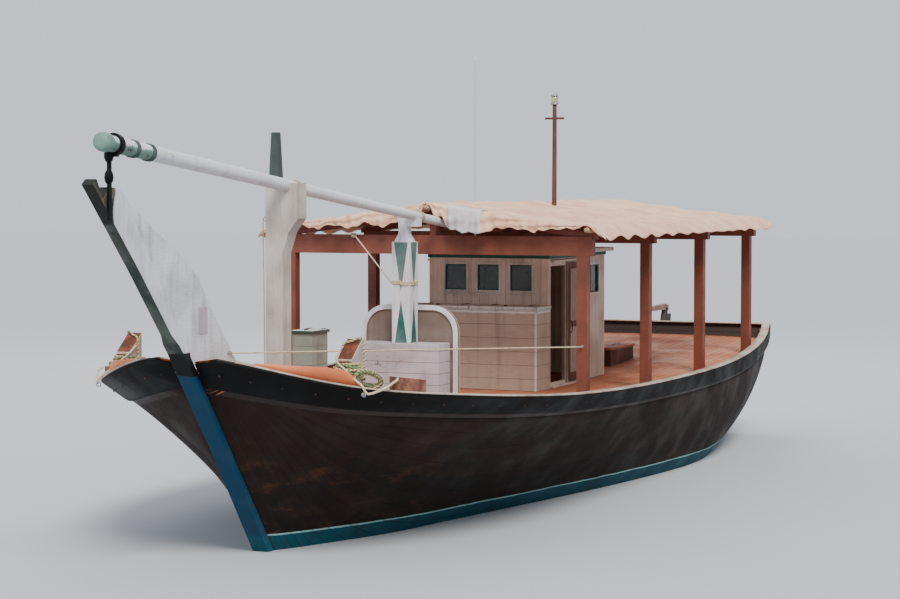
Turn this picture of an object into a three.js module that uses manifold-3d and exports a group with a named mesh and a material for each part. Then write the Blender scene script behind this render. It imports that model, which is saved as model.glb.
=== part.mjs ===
// A motorised wooden dhow of the Gulf, about 20 m long, afloat at her mooring.
// Millimetres. +X is forward, +Y is port, +Z is up. The origin is on the centreline at the
// waterline, amidships.
import * as THREE from 'three';
import { mergeVertices } from 'three/addons/utils/BufferGeometryUtils.js';
import Module from 'manifold-3d';

const wasm = await Module();
wasm.setup();

// Hull
const gap = 0.3;                 // between pieces that bear on each other
const stemHalf = 110;            // half width of stem and keel timbers
const stemHeadHalf = 75;         // half width of the stem above the rail
const stemWaterX = 7350;         // planking meets the stem here at the waterline
const stemRake = 0.8;            // forward run of the stem for each unit of height
const stemRailX = 9350;          // planking meets the stem here at the rail
const keelTop = -1400;
const keelBottom = -1650;
const scarfX = 5300;             // stem and keel timbers meet here
const bowStartX = 3750;          // the rail starts to close in towards the stem
const runStartX = -2000;         // the rail starts to close in towards the transom
const sheerLowX = -1000;
const railLow = 1600;
const beamHalf = 2900;
const bulwarkHeight = 280;
const bulwarkThick = 90;
const deckThick = 45;
const deckCamber = 60;
const strakeHeight = 230;
const strakeThick = 60;
const transomFoot = { x: -7200, z: -350 };
const transomTop = { x: -8300, z: 1850 };
const transomThick = 60;
const sternpostX = -6150;        // after face of the deadwood, ahead of the screw
const shoeEndX = -6985;
const shoeTop = -1550;

// Screw and rudder
const screwX = -6450;
const screwZ = -1080;
const screwRadius = 380;
const rudderAxisOff = 160;       // rudder axis aft of the transom's outer face
const stockRadius = 60;
const gudgeonInner = 75;
const gudgeonOuter = 118;
const gudgeonHeight = 90;
const gudgeonAlong = [500, 1450, 2250];   // distances up the axis from the transom's foot

// Spar, posts and foredeck
const sparFore = { x: 11275, y: 150, z: 4885 };
const sparAft = { x: 1741, y: 150, z: 3857 };
const sparForeRadius = 90;
const sparAftRadius = 60;
const forkX = 7000;
const forkHalf = 115;
const forkTop = 4460;
const spireTop = 5080;
const bittX = 3220;
const bittHalf = 135;
const bittShoulder = 3658;
const bittNeckHalf = 67;
const bittTop = 4060;
const breakwaterHalf = 730;
const breakwaterTop = 2780;
const breakwaterRound = 380;
const breakwaterThick = 90;
const breakwaterX = bittX - bittHalf - gap - breakwaterThick;
const boxLength = 400;
const boxTop = 2270;
const timberhead = { x0: 7930, x1: 8210, y0: 1380, y1: 1570, foreTop: 2430, aftTop: 2650 };
const turnsZ = 2275;             // middle of the turns of rope on the timberheads
const chock = { x: 7620, halfLength: 230, halfWidth: 58, inboard: 84,foreTop: 210, aftTop: 150 };

// Chest, casing and hatch
const chest = { x0: 5700, x1: 6150, y0: -250, y1: 30, top: 2560, wall: 35, floor: 1900 };
const casing = { x0: 330, x1: 900, half: 1070, top: 2620, wall: 50, floor: 1600 };
const hatch = { x0: -4700, x1: -3500, half: 700, top: 1720, wall: 70 };
const lidThick = 40;

// Wheelhouse
const house = { x0: -2400, x1: 150, half: 970, top: 3400, wall: 50, roof: 60 };
const frontWindow = { width: 350, z0: 2860, z1: 3250, pitch: 530 };
const doorway = { x0: -560, x1: 60, z0: 1480, z1: 3230 };
const sideWindow = { x0: -2100, x1: -1450, z0: 2760, z1: 3200 };
const doorThick = 35;
const helm = { x: -560, z: 2420, radius: 330 };

// Canopy
const canopyFrames = [2200, -600, -3400, -6200];
const canopyHalf = 2400;
const canopyPostY = 2250;
const canopyTimber = 150;
const beamBottom = 3570;
const fasciaBottom = 3460;       // the foremost beam is a deeper fascia
const beamTop = 3730;
const ridgeZ = 4130;
const poleRadius = 45;
const poleOver = 330;            // how far the poles run past the end frames
const clothThick = 14;
const clothOver = 260;
const clothHalf = 2680;
const valanceFoot = 3700;        // the cloth's fore edge hangs down to here

// Signal staff and whip aerial on the wheelhouse roof
const staff = { x: -1900, y: 300, top: 5900, radius: 45 };
const whip = { x: -350, y: -420, top: 6430, radius: 14 };

const finishes = {
  hullBrown: { color: 0x2e1f19, roughness: 0.75, metalness: 0 },
  keelBlue: { color: 0x1d6478, roughness: 0.7, metalness: 0 },
  railBlack: { color: 0x191616, roughness: 0.7, metalness: 0 },
  deckOrange: { color: 0xa4562f, roughness: 0.85, metalness: 0 },
  postWhite: { color: 0xc9cbd2, roughness: 0.6, metalness: 0 },
  spireDark: { color: 0x2c3234, roughness: 0.6, metalness: 0 },
  bittGreen: { color: 0x00584e, roughness: 0.55, metalness: 0 },
  timberBrown: { color: 0x5f2d23, roughness: 0.8, metalness: 0 },
  poleTan: { color: 0xb38f6f, roughness: 0.85, metalness: 0 },
  houseBeige: { color: 0x97877a, roughness: 0.7, metalness: 0 },
  clothPink: { color: 0xe0c7b3, roughness: 0.95, metalness: 0 },
  ropeBeige: { color: 0xb9a37f, roughness: 0.95, metalness: 0 },
  ironDark: { color: 0x2a2725, roughness: 0.55, metalness: 0.8 },
  bronze: { color: 0x8a6a35, roughness: 0.4, metalness: 1 },
  paneDark: { color: 0x35403f, roughness: 0.1, metalness: 0 },
};

const boat = new THREE.Group();
const materials = {};
for (const [name, look] of Object.entries(finishes)) {
  materials[name] = new THREE.MeshStandardMaterial(look);
}

function addPiece(name, geometry, finish) {
  const mesh = new THREE.Mesh(geometry, materials[finish].clone());
  mesh.name = name;
  boat.add(mesh);
}

// Ways of making solids
function block(x0, x1, y0, y1, z0, z1) {
  const geometry = new THREE.BoxGeometry(x1 - x0, y1 - y0, z1 - z0);
  return geometry.translate((x0 + x1) / 2, (y0 + y1) / 2, (z0 + z1) / 2);
}

function outline(points) {
  return new THREE.Shape(points.map(([a, b]) => new THREE.Vector2(a, b)));
}

// A plate seen from the side: an outline of (x, z) from y0 to y1.
function sidePlate(points, y0, y1) {
  const geometry = new THREE.ExtrudeGeometry(outline(points), { depth: y1 - y0, bevelEnabled: false });
  return geometry.rotateX(Math.PI / 2).translate(0, y1, 0);
}

// A plate seen from ahead: an outline of (y, z) from x0 to x1.
function crossPlate(points, x0, x1) {
  const geometry = new THREE.ExtrudeGeometry(outline(points), { depth: x1 - x0, bevelEnabled: false });
  const turn = new THREE.Matrix4().makeBasis(
    new THREE.Vector3(0, 1, 0), new THREE.Vector3(0, 0, 1), new THREE.Vector3(1, 0, 0));
  return geometry.applyMatrix4(turn).translate(x0, 0, 0);
}

// A round bar from one point to another, with a radius at each end.
function bar(from, to, radius0, radius1, sides) {
  const start = new THREE.Vector3(...from);
  const along = new THREE.Vector3(...to).sub(start);
  const geometry = new THREE.CylinderGeometry(radius1, radius0, along.length(), sides);
  const turn = new THREE.Quaternion().setFromUnitVectors(
    new THREE.Vector3(0, 1, 0), along.clone().normalize());
  geometry.applyQuaternion(turn);
  return geometry.translate(...start.addScaledVector(along, 0.5).toArray());
}

// A ring of square section about an axis through a point.
function ring(center, axis, inner, outer, height, sides) {
  const profile = [[inner, -height / 2], [outer, -height / 2], [outer, height / 2],
    [inner, height / 2], [inner, -height / 2]].map(([r, h]) => new THREE.Vector2(r, h));
  const geometry = new THREE.LatheGeometry(profile, sides);
  const turn = new THREE.Quaternion().setFromUnitVectors(
    new THREE.Vector3(0, 1, 0), new THREE.Vector3(...axis).normalize());
  return geometry.applyQuaternion(turn).translate(...center);
}

// A skin through closed sections of equal point count, with flat ends.
function loft(sections) {
  const count = sections[0].length;
  const positions = sections.flat(2);
  const faces = [];
  for (let i = 0; i < sections.length - 1; i += 1) {
    for (let j = 0; j < count; j += 1) {
      const a = i * count + j;
      const b = i * count + ((j + 1) % count);
      faces.push(a, b, b + count, a, b + count, a + count);
    }
  }
  const last = (sections.length - 1) * count;
  const capOf = (section) => {
    if (count === 4) return [[0, 1, 2], [0, 2, 3]];
    const flat = section.map((p) => new THREE.Vector2(p[1], p[2]));
    const triangles = THREE.ShapeUtils.triangulateShape(flat, []);
    return THREE.ShapeUtils.area(flat) > 0 ? triangles : triangles.map(([a, b, c]) => [a, c, b]);
  };
  for (const [a, b, c] of capOf(sections[0])) faces.push(c, b, a);
  for (const [a, b, c] of capOf(sections[sections.length - 1])) faces.push(last + a, last + b, last + c);
  const geometry = new THREE.BufferGeometry();
  geometry.setAttribute('position', new THREE.Float32BufferAttribute(positions, 3));
  geometry.setIndex(faces);
  return geometry;
}

function toSolid(geometry) {
  const bare = geometry.clone();
  bare.deleteAttribute('normal');
  bare.deleteAttribute('uv');
  const merged = mergeVertices(bare, 1e-3);
  const mesh = new wasm.Mesh({
    numProp: 3,
    vertProperties: new Float32Array(merged.attributes.position.array),
    triVerts: new Uint32Array(merged.index.array),
  });
  const solid = new wasm.Manifold(mesh);
  if (solid.volume() >= 0) return solid;
  const flipped = Uint32Array.from(merged.index.array);
  for (let i = 0; i < flipped.length; i += 3) {
    [flipped[i + 1], flipped[i + 2]] = [flipped[i + 2], flipped[i + 1]];
  }
  return new wasm.Manifold(new wasm.Mesh({
    numProp: 3,
    vertProperties: new Float32Array(merged.attributes.position.array),
    triVerts: flipped,
  }));
}

function toGeometry(solid) {
  const mesh = solid.getMesh();
  const geometry = new THREE.BufferGeometry();
  geometry.setAttribute('position', new THREE.Float32BufferAttribute(mesh.vertProperties, 3));
  geometry.setIndex(Array.from(mesh.triVerts));
  return geometry;
}

function join(...geometries) {
  return geometries.map(toSolid).reduce((whole, piece) => whole.add(piece));
}

// Lines of the hull
function railZ(x) {
  if (x < sheerLowX) return railLow + 320 * ((sheerLowX - x) / 7400) ** 1.8;
  const sweep = x > stemWaterX ? 290 * ((x - stemWaterX) / 2000) ** 3 : 0;
  return railLow + 150 * ((x - sheerLowX) / 5500) ** 2.23 + sweep;
}

function railY(x) {
  if (x > bowStartX) {
    const share = Math.max(0, (stemRailX - x) / (stemRailX - bowStartX));
    return stemHalf + (beamHalf - stemHalf) * (1 - (1 - share) ** 2.2) ** 0.58;
  }
  if (x < runStartX) return beamHalf - 850 * ((runStartX - x) / 6400) ** 2;
  return beamHalf;
}

function rabbetZ(x) {
  if (x > stemWaterX) return (x - stemWaterX) / stemRake;
  if (x > 5000) return keelTop - keelTop * ((x - 5000) / 2350) ** 2;
  if (x < -3000) return keelTop + 1150 * ((-3000 - x) / 4400) ** 1.8;
  return keelTop;
}

function deckZ(x) {
  const rise = x > 7500 ? 190 * (x - 7500) / 1850 : 0;
  return railZ(x) - bulwarkHeight + rise;
}

// Fullness of the sections. Columns: x, then half-breadths as shares of the rail's at 0.12, 0.3,
// 0.5 and 0.75 of the height from rabbet to rail.
const heights = [0, 0.12, 0.3, 0.5, 0.75, 1];
const fullness = [
  [-8900, 0.36, 0.70, 0.89, 0.98],
  [-7200, 0.33, 0.65, 0.86, 0.97],
  [-5000, 0.30, 0.60, 0.83, 0.96],
  [-2500, 0.34, 0.63, 0.81, 0.94],
  [0, 0.28, 0.52, 0.70, 0.88],
  [2600, 0.17, 0.34, 0.53, 0.78],
  [4900, 0.10, 0.21, 0.38, 0.66],
  [7350, 0.06, 0.16, 0.33, 0.64],
  [9350, 0.14, 0.34, 0.55, 0.78],
];

function between(xs, ys, x) {
  let i = 0;
  while (i < xs.length - 2 && x > xs[i + 1]) i += 1;
  const slope = (k) => {
    const lo = Math.max(0, k - 1);
    const hi = Math.min(xs.length - 1, k + 1);
    return (ys[hi] - ys[lo]) / (xs[hi] - xs[lo]);
  };
  const step = xs[i + 1] - xs[i];
  const t = (x - xs[i]) / step;
  const rise = ys[i + 1] - ys[i];
  const a = slope(i) * step - rise;
  const b = rise - slope(i + 1) * step;
  return ys[i] + t * rise + t * (1 - t) * (a * (1 - t) + b * t);
}

// Half-breadth of the planking at station x, at a share of the height from rabbet to rail.
function skinY(x, share) {
  const xs = fullness.map((row) => row[0]);
  const shares = [0, 1, 2, 3].map((k) => between(xs, fullness.map((row) => row[k + 1]), x));
  const part = between(heights, [0, ...shares, 1], share);
  return stemHalf + (railY(x) - stemHalf) * part;
}

function skinAt(x, z) {
  const share = (z - rabbetZ(x)) / Math.max(1, railZ(x) - rabbetZ(x));
  return skinY(x, Math.min(1, Math.max(0, share)));
}

const stationXs = [-8900, -8500, -8100, -7700, -7200, -6700, -6150, -5500, -4800, -4000, -3000,
  -2000, -1000, 0, 1000, 2000, 2900, 3750, 4450, 5000, 5300, 5800, 6300, 6800, 7350, 7800, 8200,
  8500, 8750, 8950, 9080, 9165];
const rowShares = [0, 0.06, 0.13, 0.21, 0.3, 0.4, 0.5, 0.61, 0.73, 0.86, 1];

// One closed section of the hull up to the height given by topOf.
function hullSection(x, topOf) {
  const low = rabbetZ(x);
  const top = Math.max(topOf(x), low + 8);
  const port = rowShares.map((share) => {
    const z = low + (top - low) * share;
    return [x, skinAt(x, z), z];
  });
  return [...port, ...port.map(([px, py, pz]) => [px, -py, pz]).reverse()];
}

// Side outline of everything aft of the transom's inner face, moved aft by a distance.
const transomRun = new THREE.Vector2(transomTop.x - transomFoot.x, transomTop.z - transomFoot.z).normalize();
const aftward = new THREE.Vector2(-transomRun.y, transomRun.x);
function transomLine(along, off) {
  return [transomFoot.x + transomRun.x * along + aftward.x * off,
    transomFoot.z + transomRun.y * along + aftward.y * off];
}
function aftOf(off) {
  const [footX, footZ] = transomLine(-1200, off);
  const [topX, topZ] = transomLine(3400, off);
  return toSolid(sidePlate([[footX, footZ], [-12000, footZ], [-12000, topZ], [topX, topZ]], -4000, 4000));
}

const fullHull = toSolid(loft([-9400, ...stationXs].map((x) => hullSection(x, railZ))));
const wholeBody = toSolid(loft(stationXs.map((x) => hullSection(x, deckZ))));
addPiece('hull_body', toGeometry(wholeBody.subtract(aftOf(0))), 'hullBrown');

// Keel with the deadwood and the shoe that carries the rudder's heel
const keelXs = stationXs.filter((x) => x >= sternpostX && x <= scarfX);
addPiece('keel', sidePlate([
  [shoeEndX, keelBottom],
  [scarfX - gap, keelBottom],
  ...keelXs.slice().reverse().map((x) => [Math.min(x, scarfX - gap), rabbetZ(x) - gap]),
  [sternpostX, shoeTop],
  [shoeEndX, shoeTop],
], -stemHalf, stemHalf), 'keelBlue');

// Stem, from the scarf with the keel up to the notched head
const stemXs = stationXs.filter((x) => x >= scarfX);
const stemFoot = [5300, 5700, 6100, 6500, 6850, 7200].map((x) => [x, keelBottom - keelBottom * ((x - 5000) / 2500) ** 2]);
stemFoot[0][1] = keelBottom;
const stemOutline = [
  ...stemFoot,
  [7500, 0], [8460, 1250], [9505, 2529], [10400, 3500], [11320, 4437],
  [11240, 4500], [11120, 4290], [10990, 4410], [10850, 4400], [10712, 4350],
  [9362, 2575], [9350, rabbetZ(9350) - 2],
  ...stemXs.slice().reverse().map((x) => [x + 0.4, rabbetZ(x) - gap]),
];
const stemWidths = [[stemHalf + 1, keelBottom - 50], [stemHalf + 1, 2640], [stemHeadHalf, 2760], [stemHeadHalf, 4600]];
const stemTaper = crossPlate([...stemWidths, ...stemWidths.slice().reverse().map(([y, z]) => [-y, z])], 5000, 12000);
const stem = toSolid(sidePlate(stemOutline, -stemHalf, stemHalf)).intersect(toSolid(stemTaper));
addPiece('stem_post', toGeometry(stem), 'keelBlue');

// Bulwarks and the rubbing strakes along their outside
function railNormal(x) {
  const slope = (railY(x + 2) - railY(Math.min(x - 2, stemRailX - 4))) / 4;
  const length = Math.hypot(slope, 1);
  return [-slope / length, 1 / length];
}
function railOffset(x, z, off) {
  const [nx, ny] = railNormal(Math.min(x, 9300));
  return [x + nx * off, Math.max(skinAt(x, z) + ny * off, stemHalf + 3.5), z];
}
const bulwarkXs = [-8500, ...stationXs.slice(2), 9230, 9285, 9325];
function bulwarkSection(x) {
  const foot = Math.max(deckZ(x), rabbetZ(x)) + gap;
  const top = Math.max(railZ(x), foot + 12);
  const inner = railOffset(x, top, -bulwarkThick);
  const innerFoot = railOffset(x, foot, -bulwarkThick);
  innerFoot[2] = Math.max(foot, deckZ(Math.max(innerFoot[0], -8500)) + gap);
  return [railOffset(x, foot, 0), railOffset(x, top, 0), inner, innerFoot];
}
function strakeSection(x) {
  const top = railZ(x) - 4;
  const foot = Math.max(railZ(x) - strakeHeight, rabbetZ(x) + 2);
  return [railOffset(x, foot, gap + 3), railOffset(x, foot, strakeThick),
    railOffset(x, Math.max(top, foot + 14), strakeThick), railOffset(x, Math.max(top, foot + 14), gap + 3)];
}
function mirrored(solid) {
  return solid.mirror([0, 1, 0]);
}
const bulwark = toSolid(loft(bulwarkXs.map(bulwarkSection))).subtract(aftOf(-gap));
addPiece('bulwark_port', toGeometry(bulwark), 'hullBrown');
addPiece('bulwark_starboard', toGeometry(mirrored(bulwark)), 'hullBrown');
const swollen = [1.0002, 1.0006, 1];   // grows a hull-sized cutter by about the gap
const strake = [fullHull, wholeBody, bulwark]
  .reduce((piece, cutter) => piece.subtract(cutter.scale(swollen)), toSolid(loft(bulwarkXs.map(strakeSection))))
  .subtract(aftOf(transomThick));
addPiece('rubbing_strake_port', toGeometry(strake), 'railBlack');
addPiece('rubbing_strake_starboard', toGeometry(mirrored(strake)), 'railBlack');

// Deck planking between the bulwarks
function innerY(x) {
  const points = bulwarkXs.map((station) => railOffset(station, Math.max(deckZ(station), rabbetZ(station)), -bulwarkThick));
  const xs = points.map((p) => p[0]);
  let i = 0;
  while (i < xs.length - 2 && x > xs[i + 1]) i += 1;
  const t = (x - xs[i]) / (xs[i + 1] - xs[i]);
  return points[i][1] + t * (points[i + 1][1] - points[i][1]) - 6;
}
const deckXs = stationXs.filter((x) => x < 9000);
const deckRows = [-1, -0.5, 0, 0.5, 1];
function deckSection(x, depth, lift) {
  const half = innerY(x);
  const top = deckRows.map((row) => [x, row * half,
    deckZ(x) + gap + deckThick + lift + deckCamber * (half / beamHalf) ** 2 * (1 - row * row)]);
  return [...top, [x, half, deckZ(x) + gap - depth], [x, -half, deckZ(x) + gap - depth]];
}
const hatchway = block(hatch.x0 + hatch.wall, hatch.x1 - hatch.wall, hatch.wall - hatch.half, hatch.half - hatch.wall,
  1000, 2000);
const deckSolid = toSolid(loft(deckXs.map((x) => deckSection(x, 0, 0)))).subtract(aftOf(-6)).subtract(toSolid(hatchway));
addPiece('deck', toGeometry(deckSolid), 'deckOrange');
const underDeck = toSolid(loft(deckXs.map((x) => deckSection(x, 900, gap))));
const liftedBody = wholeBody.translate([0, 0, gap]);
function onDeck(solid) {
  return toGeometry(solid.subtract(underDeck).subtract(liftedBody));
}
function deckTop(x, y) {
  const half = innerY(x);
  return deckZ(x) + gap + deckThick + deckCamber * (half / beamHalf) ** 2 * (1 - (y / half) ** 2);
}

// Transom with the gudgeon rings that hold the rudder
const [axisFootX, axisFootZ] = transomLine(0, transomThick + rudderAxisOff);
const axisDir = [transomRun.x, 0, transomRun.y];
function axisPoint(along, off = 0) {
  return [axisFootX + transomRun.x * along + aftward.x * off, 0,
    axisFootZ + transomRun.y * along + aftward.y * off];
}
function axisPlate(along0, along1, off0, off1, half) {
  const corner = (a, o) => {
    const [x, , z] = axisPoint(a, o);
    return [x, z];
  };
  return sidePlate([corner(along0, off0), corner(along0, off1), corner(along1, off1), corner(along1, off0)], -half, half);
}
let transom = fullHull.intersect(aftOf(gap)).subtract(aftOf(transomThick));
for (const along of gudgeonAlong) {
  const arm = toSolid(axisPlate(along - gudgeonHeight / 2, along + gudgeonHeight / 2,
    -rudderAxisOff - 8, -gudgeonInner - 8, 55));
  const eye = toSolid(ring(axisPoint(along), axisDir, gudgeonInner, gudgeonOuter, gudgeonHeight, 24));
  const hole = toSolid(bar(axisPoint(along - 100), axisPoint(along + 100), gudgeonInner, gudgeonInner, 24));
  transom = transom.add(arm.subtract(hole)).add(eye);
}
addPiece('transom', toGeometry(transom), 'hullBrown');

// Rudder, cut back around each gudgeon, and the tiller over its head
const rudderFootZ = shoeTop + 22;   // its lower corners dip by 12 as it turns about the raked axis
const footAlong = (rudderFootZ - axisFootZ) / transomRun.y;
let rudder = toSolid(sidePlate([
  [axisPoint(footAlong)[0], rudderFootZ], [-8050, rudderFootZ], [-8330, -900], [-8420, -300],
  [-8560, 300], [-8700, 900], [-8820, 1500], [-8930, 2040], [axisPoint(2780)[0], 2040],
], -45, 45));
for (const [index, along] of gudgeonAlong.entries()) {
  const low = along - gudgeonHeight / 2 - 12;
  const high = along + gudgeonHeight / 2 + (index === 0 ? gap : 12);   // the lowest one bears the weight
  rudder = rudder.subtract(toSolid(axisPlate(low, high, -200, 135, 200)));
}
rudder = rudder.add(toSolid(bar(axisPoint(footAlong + 40), axisPoint(2900), stockRadius, stockRadius, 20)));
addPiece('rudder', toGeometry(rudder), 'hullBrown');
const [headX, , headZ] = axisPoint(2900 + gap);
const tiller = toSolid(sidePlate([[headX - 90, headZ - 40], [headX - 90, headZ + 60],
  [headX + 60, headZ + 90], [headX + 1350, headZ + 60], [headX + 1350, headZ], [headX + 60, headZ - 20],
], -42, 42)).subtract(toSolid(bar(axisPoint(2500), axisPoint(2900 + gap), 90, 90, 20)));
addPiece('tiller', toGeometry(tiller), 'timberBrown');

// Screw of three blades with its shaft
const bladeOutline = [[0, 30], [70, 90], [135, 190], [150, 280], [95, 355], [0, screwRadius],
  [-70, 350], [-105, 260], [-95, 160], [-50, 70]];
let screw = join(bar([screwX - 130, 0, screwZ], [screwX + 110, 0, screwZ], 45, 68, 20),
  bar([screwX + 100, 0, screwZ], [sternpostX - gap, 0, screwZ], 36, 36, 20));
for (let blade = 0; blade < 3; blade += 1) {
  const plate = new THREE.ExtrudeGeometry(outline(bladeOutline), { depth: 20, bevelEnabled: false });
  plate.translate(0, 0, -10);
  plate.rotateY(THREE.MathUtils.degToRad(62));
  plate.rotateX(Math.PI / 2 + blade * 2 * Math.PI / 3);
  screw = screw.add(toSolid(plate.translate(screwX, 0, screwZ)));
}
addPiece('screw', toGeometry(screw), 'bronze');

// Fin behind the stem, on the centreline
addPiece('stem_fin', onDeck(toSolid(sidePlate([
  [10711, 4350], [10003, 3934], [9492, 3688], [9051, 3383], [8712, 2965], [8361, 2590], [8130, 2340],
  [8000, 2050], [8000, 1800], [8500, 2030], [8900, 2215], [9300, 2430], [9355, 2570],
], -45, 45)).subtract(toSolid(sidePlate(stemOutline.map(([x, z]) => [x - gap, z]), -200, 200)))), 'postWhite');

// The long spar lies on the fork post and the striped bitt
function sparSolid(extra) {
  return join(
    bar([sparFore.x, sparFore.y, sparFore.z], [sparAft.x, sparAft.y, sparAft.z],
      sparForeRadius + extra, sparAftRadius + extra, 24));
}
const sparRun = new THREE.Vector3(sparAft.x - sparFore.x, 0, sparAft.z - sparFore.z).normalize();
function sparPoint(along) {
  return [sparFore.x + sparRun.x * along, sparFore.y, sparFore.z + sparRun.z * along];
}
addPiece('bow_spar', toGeometry(sparSolid(0)
  .add(toSolid(bar(sparPoint(-40), sparPoint(150), 104, 102, 24)))), 'postWhite');
const sparSeat = sparSolid(gap);

// Iron that holds the spar's end to the stem head
const ironX = 11020;
const ironZ = sparPoint((sparFore.x - ironX) / -sparRun.x)[2];
const stemIron = join(
  block(ironX - 30, ironX + 30, stemHeadHalf + gap, stemHeadHalf + 24, 4060, ironZ - 60),
  block(ironX - 30, ironX + 30, stemHeadHalf + gap, 190, ironZ - 130, ironZ - 96 + gap),
  ring([ironX, sparFore.y, ironZ], [sparRun.x, 0, sparRun.z], 80, 122, 60, 24));
addPiece('stem_iron', toGeometry(stemIron.subtract(toSolid(
  bar([sparFore.x, sparFore.y, sparFore.z], [sparAft.x, sparAft.y, sparAft.z],
    sparForeRadius + gap, sparAftRadius + gap, 24)))), 'ironDark');

// Fork post with its bracket to port, and the dark spire on top
const forkOutline = [[-forkHalf, 1500], [forkHalf, 1500], [forkHalf, 3600], [200, 3860], [330, 4030],
  [330, forkTop], [-forkHalf, forkTop]];
addPiece('fork_post', onDeck(toSolid(crossPlate(forkOutline, forkX - forkHalf, forkX + forkHalf))
  .subtract(sparSeat)), 'postWhite');
const spire = toSolid(loft([0, 1].map((end) => {
  const half = end ? 45 : 70;
  const z = end ? spireTop : forkTop + gap;
  return [[forkX + half, -28 - half, z], [forkX + half, -28 + half, z],
    [forkX - half, -28 + half, z], [forkX - half, -28 - half, z]];
}).map((corners) => corners.map(([x, y, z]) => [z, y, x]))));
addPiece('fork_spire', toGeometry(spire.transform([0, 0, 1, 0, 0, 1, 0, 0, 1, 0, 0, 0, 0, 0, 0, 1])), 'spireDark');

// Striped bitt that carries the spar's after end
const bittBody = join(
  block(bittX - bittHalf, bittX + bittHalf, -bittHalf, bittHalf, 1000, bittShoulder),
  crossPlate([[-bittHalf, bittShoulder - 5], [bittHalf, bittShoulder - 5], [bittNeckHalf, bittShoulder + 115],
    [-bittNeckHalf, bittShoulder + 115]], bittX - bittNeckHalf, bittX + bittNeckHalf),
  block(bittX - bittNeckHalf, bittX + bittNeckHalf, -bittNeckHalf, bittNeckHalf, bittShoulder, bittTop),
  block(bittX - bittNeckHalf, bittX + bittNeckHalf, 0, 225, 3870, 3985));
addPiece('striped_bitt', onDeck(bittBody.subtract(sparSeat)), 'bittGreen');

// Breakwater: a round-shouldered panel with a raised rim, and a planked box ahead of it
function shoulders(half, top, round, foot) {
  const points = [[-half, foot], [half, foot]];
  for (let step = 0; step <= 8; step += 1) {
    const angle = step * Math.PI / 16;
    points.push([half - round + round * Math.cos(angle), top - round + round * Math.sin(angle)]);
  }
  return [...points, ...points.slice(2).reverse().map(([y, z]) => [-y, z])];
}
const rim = 70;
const panel = toSolid(crossPlate(shoulders(breakwaterHalf, breakwaterTop, breakwaterRound, 1200),
  breakwaterX, breakwaterX + breakwaterThick));
const recess = crossPlate(shoulders(breakwaterHalf - rim, breakwaterTop - rim, breakwaterRound - rim, 1300), 0, 60);
addPiece('breakwater_panel', onDeck(panel
  .subtract(toSolid(recess.clone().translate(breakwaterX + breakwaterThick - 28, 0, 0)))
  .subtract(toSolid(recess.clone().translate(breakwaterX - 32, 0, 0)))), 'postWhite');
const boxX0 = breakwaterX + breakwaterThick + gap;
addPiece('breakwater_box', onDeck(toSolid(block(boxX0, boxX0 + boxLength, -600, 620, 1200, boxTop))
  .subtract(toSolid(block(bittX - bittHalf - gap, bittX + bittHalf + gap, -bittHalf - gap, bittHalf + gap, 1000, 3000)))),
'postWhite');

// A cut by the bulwark leaves an offcut outside it, so the largest body is kept.
function largest(solid) {
  return solid.decompose().sort((a, b) => b.volume() - a.volume())[0];
}

// Timberheads against the inside of the bulwark, their tops sawn on a slope
const headBlock = toSolid(sidePlate([[timberhead.x0, 1700], [timberhead.x1, 1700],
  [timberhead.x1, timberhead.foreTop], [timberhead.x0, timberhead.aftTop]], timberhead.y0, timberhead.y1));
const headSolid = largest(headBlock.subtract(underDeck).subtract(liftedBody)
  .subtract(bulwark.translate([0, -gap, gap])));
const turnsX = (timberhead.x0 + timberhead.x1) / 2;
const turnsY = (timberhead.y0 + timberhead.y1) / 2;
const turnsInner = 170.8;        // over the timberhead's corners
const turns = new THREE.LatheGeometry([
  [turnsInner, -120], [196, -138], [214, -80], [206, -10], [216, 60], [198, 130], [turnsInner, 118], [turnsInner, -120],
].map(([r, h]) => new THREE.Vector2(r, h)), 24);
const turnsSolid = toSolid(turns.rotateX(Math.PI / 2).translate(turnsX, turnsY, turnsZ));

// Chocks that stand on the rail, abaft the timberheads
const chockTurn = Math.atan2(railY(chock.x + chock.halfLength) - railY(chock.x - chock.halfLength), 2 * chock.halfLength);
const chockSolid = largest(toSolid(sidePlate([[-chock.halfLength, -60], [chock.halfLength, -60],
  [chock.halfLength, chock.foreTop], [-chock.halfLength, chock.aftTop]], -chock.halfWidth, chock.halfWidth)
  .rotateZ(chockTurn).translate(chock.x, railY(chock.x) - chock.inboard, railZ(chock.x)))
  .subtract(fullHull.translate([0, 0, gap])).subtract(bulwark.translate([0, 0, gap])));
for (const [side, solids] of [
  ['port', [headSolid, turnsSolid, chockSolid]],
  ['starboard', [headSolid, turnsSolid, chockSolid].map(mirrored)],
]) {
  addPiece(`timberhead_${side}`, toGeometry(solids[0]), 'timberBrown');
  addPiece(`rope_turns_${side}`, toGeometry(solids[1]), 'ropeBeige');
  addPiece(`rail_chock_${side}`, toGeometry(solids[2]), 'timberBrown');
}

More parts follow.
